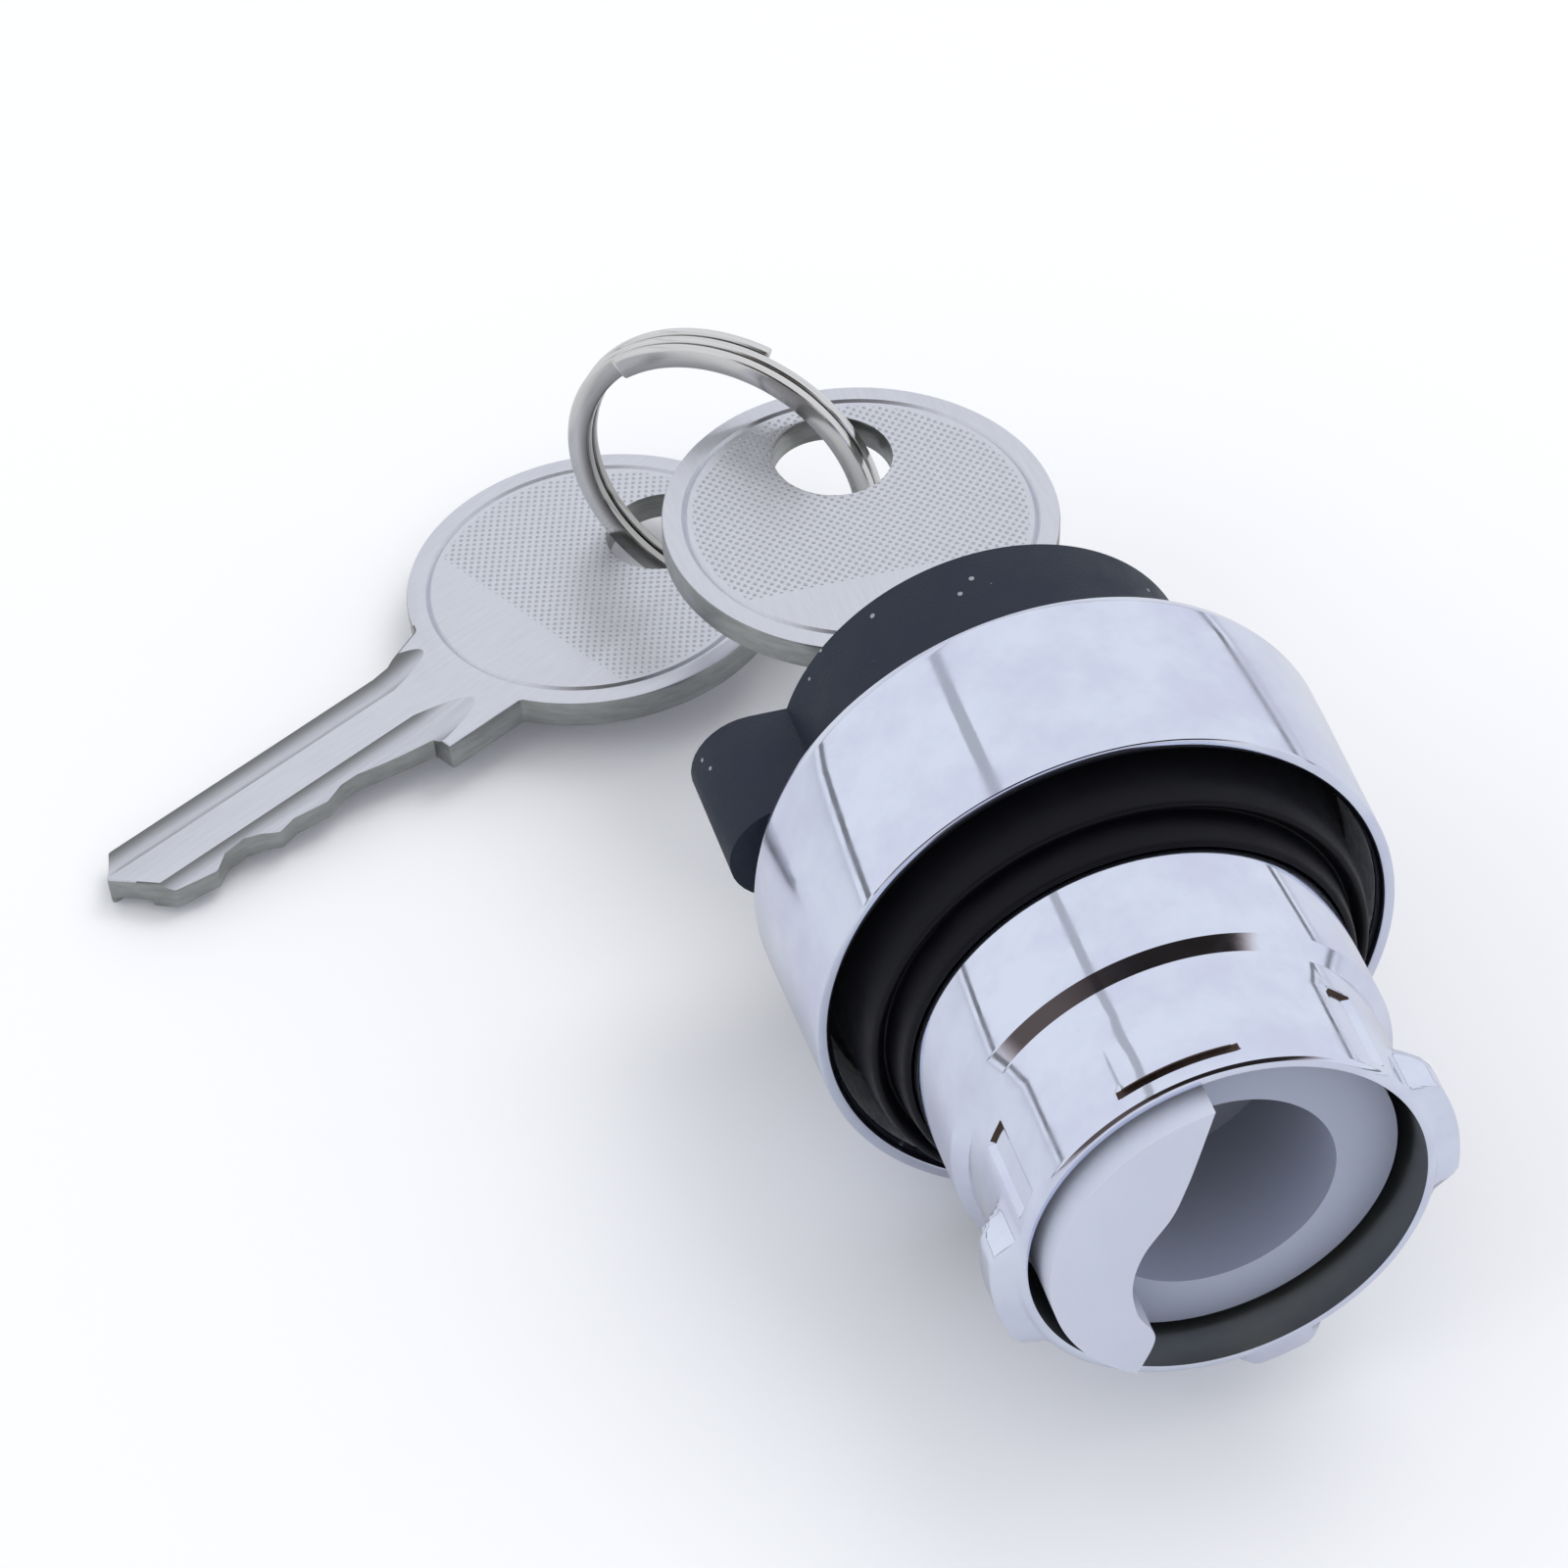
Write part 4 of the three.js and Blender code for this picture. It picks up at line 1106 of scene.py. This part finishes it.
class KEYSWITCH_OT_split_ring(PieceOperator):
    """Wind the split ring from flat wire"""

    bl_idname = "keyswitch.split_ring"
    bl_label = "Split ring"

    def execute(self, context):
        half_height = RING_LAYER / 2
        start = -RING_TURNS * RING_PITCH / 2
        corners = ((RING_R - RING_WIRE, -half_height), (RING_R, -half_height),
                   (RING_R, half_height), (RING_R - RING_WIRE, half_height))
        piece = trace("flat_wire_ring", [spot(r, 0, z + start) for r, z in corners])
        close_outline(piece, filled=False)
        leave_edit()
        piece.data.transform(Matrix.Rotation(math.radians(RING_START), 4, "Z"))
        steps = round(self.sizes.facets * RING_TURNS)
        apply_modifier(
            piece, "SCREW", axis="Z", angle=2 * math.pi * RING_TURNS, screw_offset=mm(RING_PITCH * RING_TURNS),
            steps=steps, render_steps=steps, use_merge_vertices=False,
        )
        edit(piece)
        bpy.ops.mesh.select_mode(type="EDGE")
        bpy.ops.mesh.select_all(action="DESELECT")
        bpy.ops.mesh.select_non_manifold()
        bpy.ops.mesh.edge_face_add()
        face_outwards()
        round_edges(piece, self.sizes.ring_edge, 3, 40)
        move_mesh(piece, RING_TURN, RING_AT)
        smooth(piece)
        fasten(piece, "split_ring", "ring", "ring_steel", "ring_wire")
        return {"FINISHED"}


class KEYSWITCH_OT_inner_parts(PieceOperator):
    """Give the frame's own inner parts their finishes"""

    bl_idname = "keyswitch.inner_parts"
    bl_label = "Inner parts"

    def execute(self, context):
        finishes = {"lock_brass": "lock_brass", "spring_steel": "spring_steel", "rubber_black": "gasket_rubber"}
        for part in frame["record"]["subparts"]:
            node = frame["nodes"][part["node"]]
            if node.hide_render:
                continue
            node.data.materials.clear()
            node.data.materials.append(bpy.data.materials[finishes[part["material_slot"]]])
        return {"FINISHED"}


# ---------- studio ----------
def floor_material(base):
    """A matt pale floor with a painted reflection: it shows darker only in glossy rays, where the bright plate
    mirrors it.
    """
    finish = Finish("pale_floor", Roughness=0.7, Specular_IOR_Level=0.2)
    mirrored = finish.tree.nodes.new("ShaderNodeLightPath").outputs["Is Glossy Ray"]
    finish.colour(mirrored, base, tinted(base, MIRRORED_FLOOR))
    return finish.material


def softbox(name, at, target, size, power, tint=(1, 1, 1)):
    """A square area light that faces a point."""
    light = bpy.data.lights.new(name, "AREA")
    light.size = size
    light.energy = power
    light.color = tint
    lamp = bpy.data.objects.new(name, light)
    lamp.location = at
    lamp.rotation_mode = "QUATERNION"
    lamp.rotation_quaternion = (Vector(target) - Vector(at)).to_track_quat("-Z", "Y")
    lamp.visible_glossy = False
    bpy.context.scene.collection.objects.link(lamp)


def tent_world(strength):
    """A white tent whose seams and dark opening show only in reflections."""
    world = bpy.data.worlds.new("tent")
    bpy.context.scene.world = world
    world.use_nodes = True
    tree = world.node_tree
    tree.nodes.clear()
    x, y, z = split(tree, tree.nodes.new("ShaderNodeTexCoord").outputs["Generated"])
    bearing = calc(tree, "ARCTAN2", z, x)
    shade = 1
    for middle, half_width, depth in TENT_SEAMS:
        edge = math.radians(half_width)
        seam = away(tree, bearing, math.radians(middle), edge * 0.75, edge, 1 - depth, 1)
        shade = calc(tree, "MULTIPLY", shade, seam)
    span = (math.radians(angle) for angle in OPENING_SPAN)
    across = away(tree, bearing, math.radians(OPENING_BEARING), *span)
    opening = calc(tree, "MULTIPLY", across, away(tree, y, OPENING_LEAN, *OPENING_HEIGHT))
    darkest = remap(tree, bearing, math.radians(OPENING_NUB_SIDE), math.radians(OPENING_BEARING), *OPENING_DARK)
    shade = calc(tree, "MULTIPLY", shade, remap(tree, opening, 0, 1, 1, darkest, smoothly=False))
    reflected = tree.nodes.new("ShaderNodeLightPath").outputs["Is Glossy Ray"]
    shown = remap(tree, reflected, 0, 1, 1, shade, smoothly=False)
    tint = mix(tree, calc(tree, "MULTIPLY", opening, reflected), TENT_TINT, OPENING_TINT)
    background = tree.nodes.new("ShaderNodeBackground")
    tree.links.new(tint, background.inputs["Color"])
    tree.links.new(calc(tree, "MULTIPLY", shown, strength), background.inputs["Strength"])
    tree.links.new(background.outputs[0], tree.nodes.new("ShaderNodeOutputWorld").inputs["Surface"])


class KEYSWITCH_OT_studio(PieceOperator):
    """Set up the pale floor, the soft lights and the camera"""

    bl_idname = "keyswitch.studio"
    bl_label = "Studio"

    def execute(self, context):
        studio = context.scene.key_switch_studio
        deselect()
        bpy.ops.mesh.primitive_plane_add(size=3, location=(0, 0, mm(FLOOR_Z - 0.01)))
        floor = context.object
        floor.name = "studio_floor"
        floor.data.materials.append(floor_material(studio.floor))
        target = spot(*CAMERA_TARGET)
        back = Vector((
            math.sin(studio.azimuth) * math.cos(studio.elevation),
            -math.cos(studio.azimuth) * math.cos(studio.elevation),
            math.sin(studio.elevation),
        ))
        camera = bpy.data.objects.new("camera", bpy.data.cameras.new("camera"))
        camera.location = target + back * studio.distance
        camera.rotation_mode = "QUATERNION"
        camera.rotation_quaternion = (-back).to_track_quat("-Z", "Y")
        camera.data.lens = studio.lens
        camera.data.sensor_width = 36
        camera.data.clip_start = 0.01
        context.scene.collection.objects.link(camera)
        context.scene.camera = camera
        softbox("key_softbox", (-0.25, -0.15, 0.55), target, 0.35, 0.85, (1, 0.98, 0.96))
        softbox("fill_softbox", (0.45, 0.1, 0.35), target, 0.3, 0.35, (0.94, 0.97, 1))
        tent_world(studio.dome)
        context.scene.view_settings.view_transform = "Standard"
        return {"FINISHED"}


class KEYSWITCH_PT_panel(bpy.types.Panel):
    """Lists the pieces in the order they are made"""

    bl_label = "Key Switch"
    bl_idname = "KEYSWITCH_PT_panel"
    bl_space_type = "VIEW_3D"
    bl_region_type = "UI"
    bl_category = "Key Switch"

    def draw(self, context):
        for operator in OPERATORS:
            self.layout.operator(operator.bl_idname)
        for settings in (context.scene.key_switch_sizes, context.scene.key_switch_finishes,
                         context.scene.key_switch_studio):
            for name in settings.bl_rna.properties.keys():
                if name not in ("rna_type", "name"):
                    self.layout.prop(settings, name)


SETTINGS = {
    "key_switch_sizes": KeySwitchSizes,
    "key_switch_finishes": KeySwitchFinishes,
    "key_switch_studio": KeySwitchStudio,
}
OPERATORS = (
    KEYSWITCH_OT_studio, KEYSWITCH_OT_finishes, KEYSWITCH_OT_bezel, KEYSWITCH_OT_sleeve, KEYSWITCH_OT_gasket,
    KEYSWITCH_OT_cap, KEYSWITCH_OT_face_plate, KEYSWITCH_OT_cam_rotor, KEYSWITCH_OT_keys,
    KEYSWITCH_OT_split_ring, KEYSWITCH_OT_inner_parts,
)


def register():
    for cls in (*SETTINGS.values(), *OPERATORS, KEYSWITCH_PT_panel):
        bpy.utils.register_class(cls)
    for name, cls in SETTINGS.items():
        setattr(bpy.types.Scene, name, PointerProperty(type=cls))


def unregister():
    for name in SETTINGS:
        delattr(bpy.types.Scene, name)
    for cls in reversed((*SETTINGS.values(), *OPERATORS, KEYSWITCH_PT_panel)):
        bpy.utils.unregister_class(cls)


def main():
    register()
    for operator in OPERATORS:
        group, name = operator.bl_idname.split(".")
        getattr(getattr(bpy.ops, group), name)()


if __name__ == "__main__":
    main()
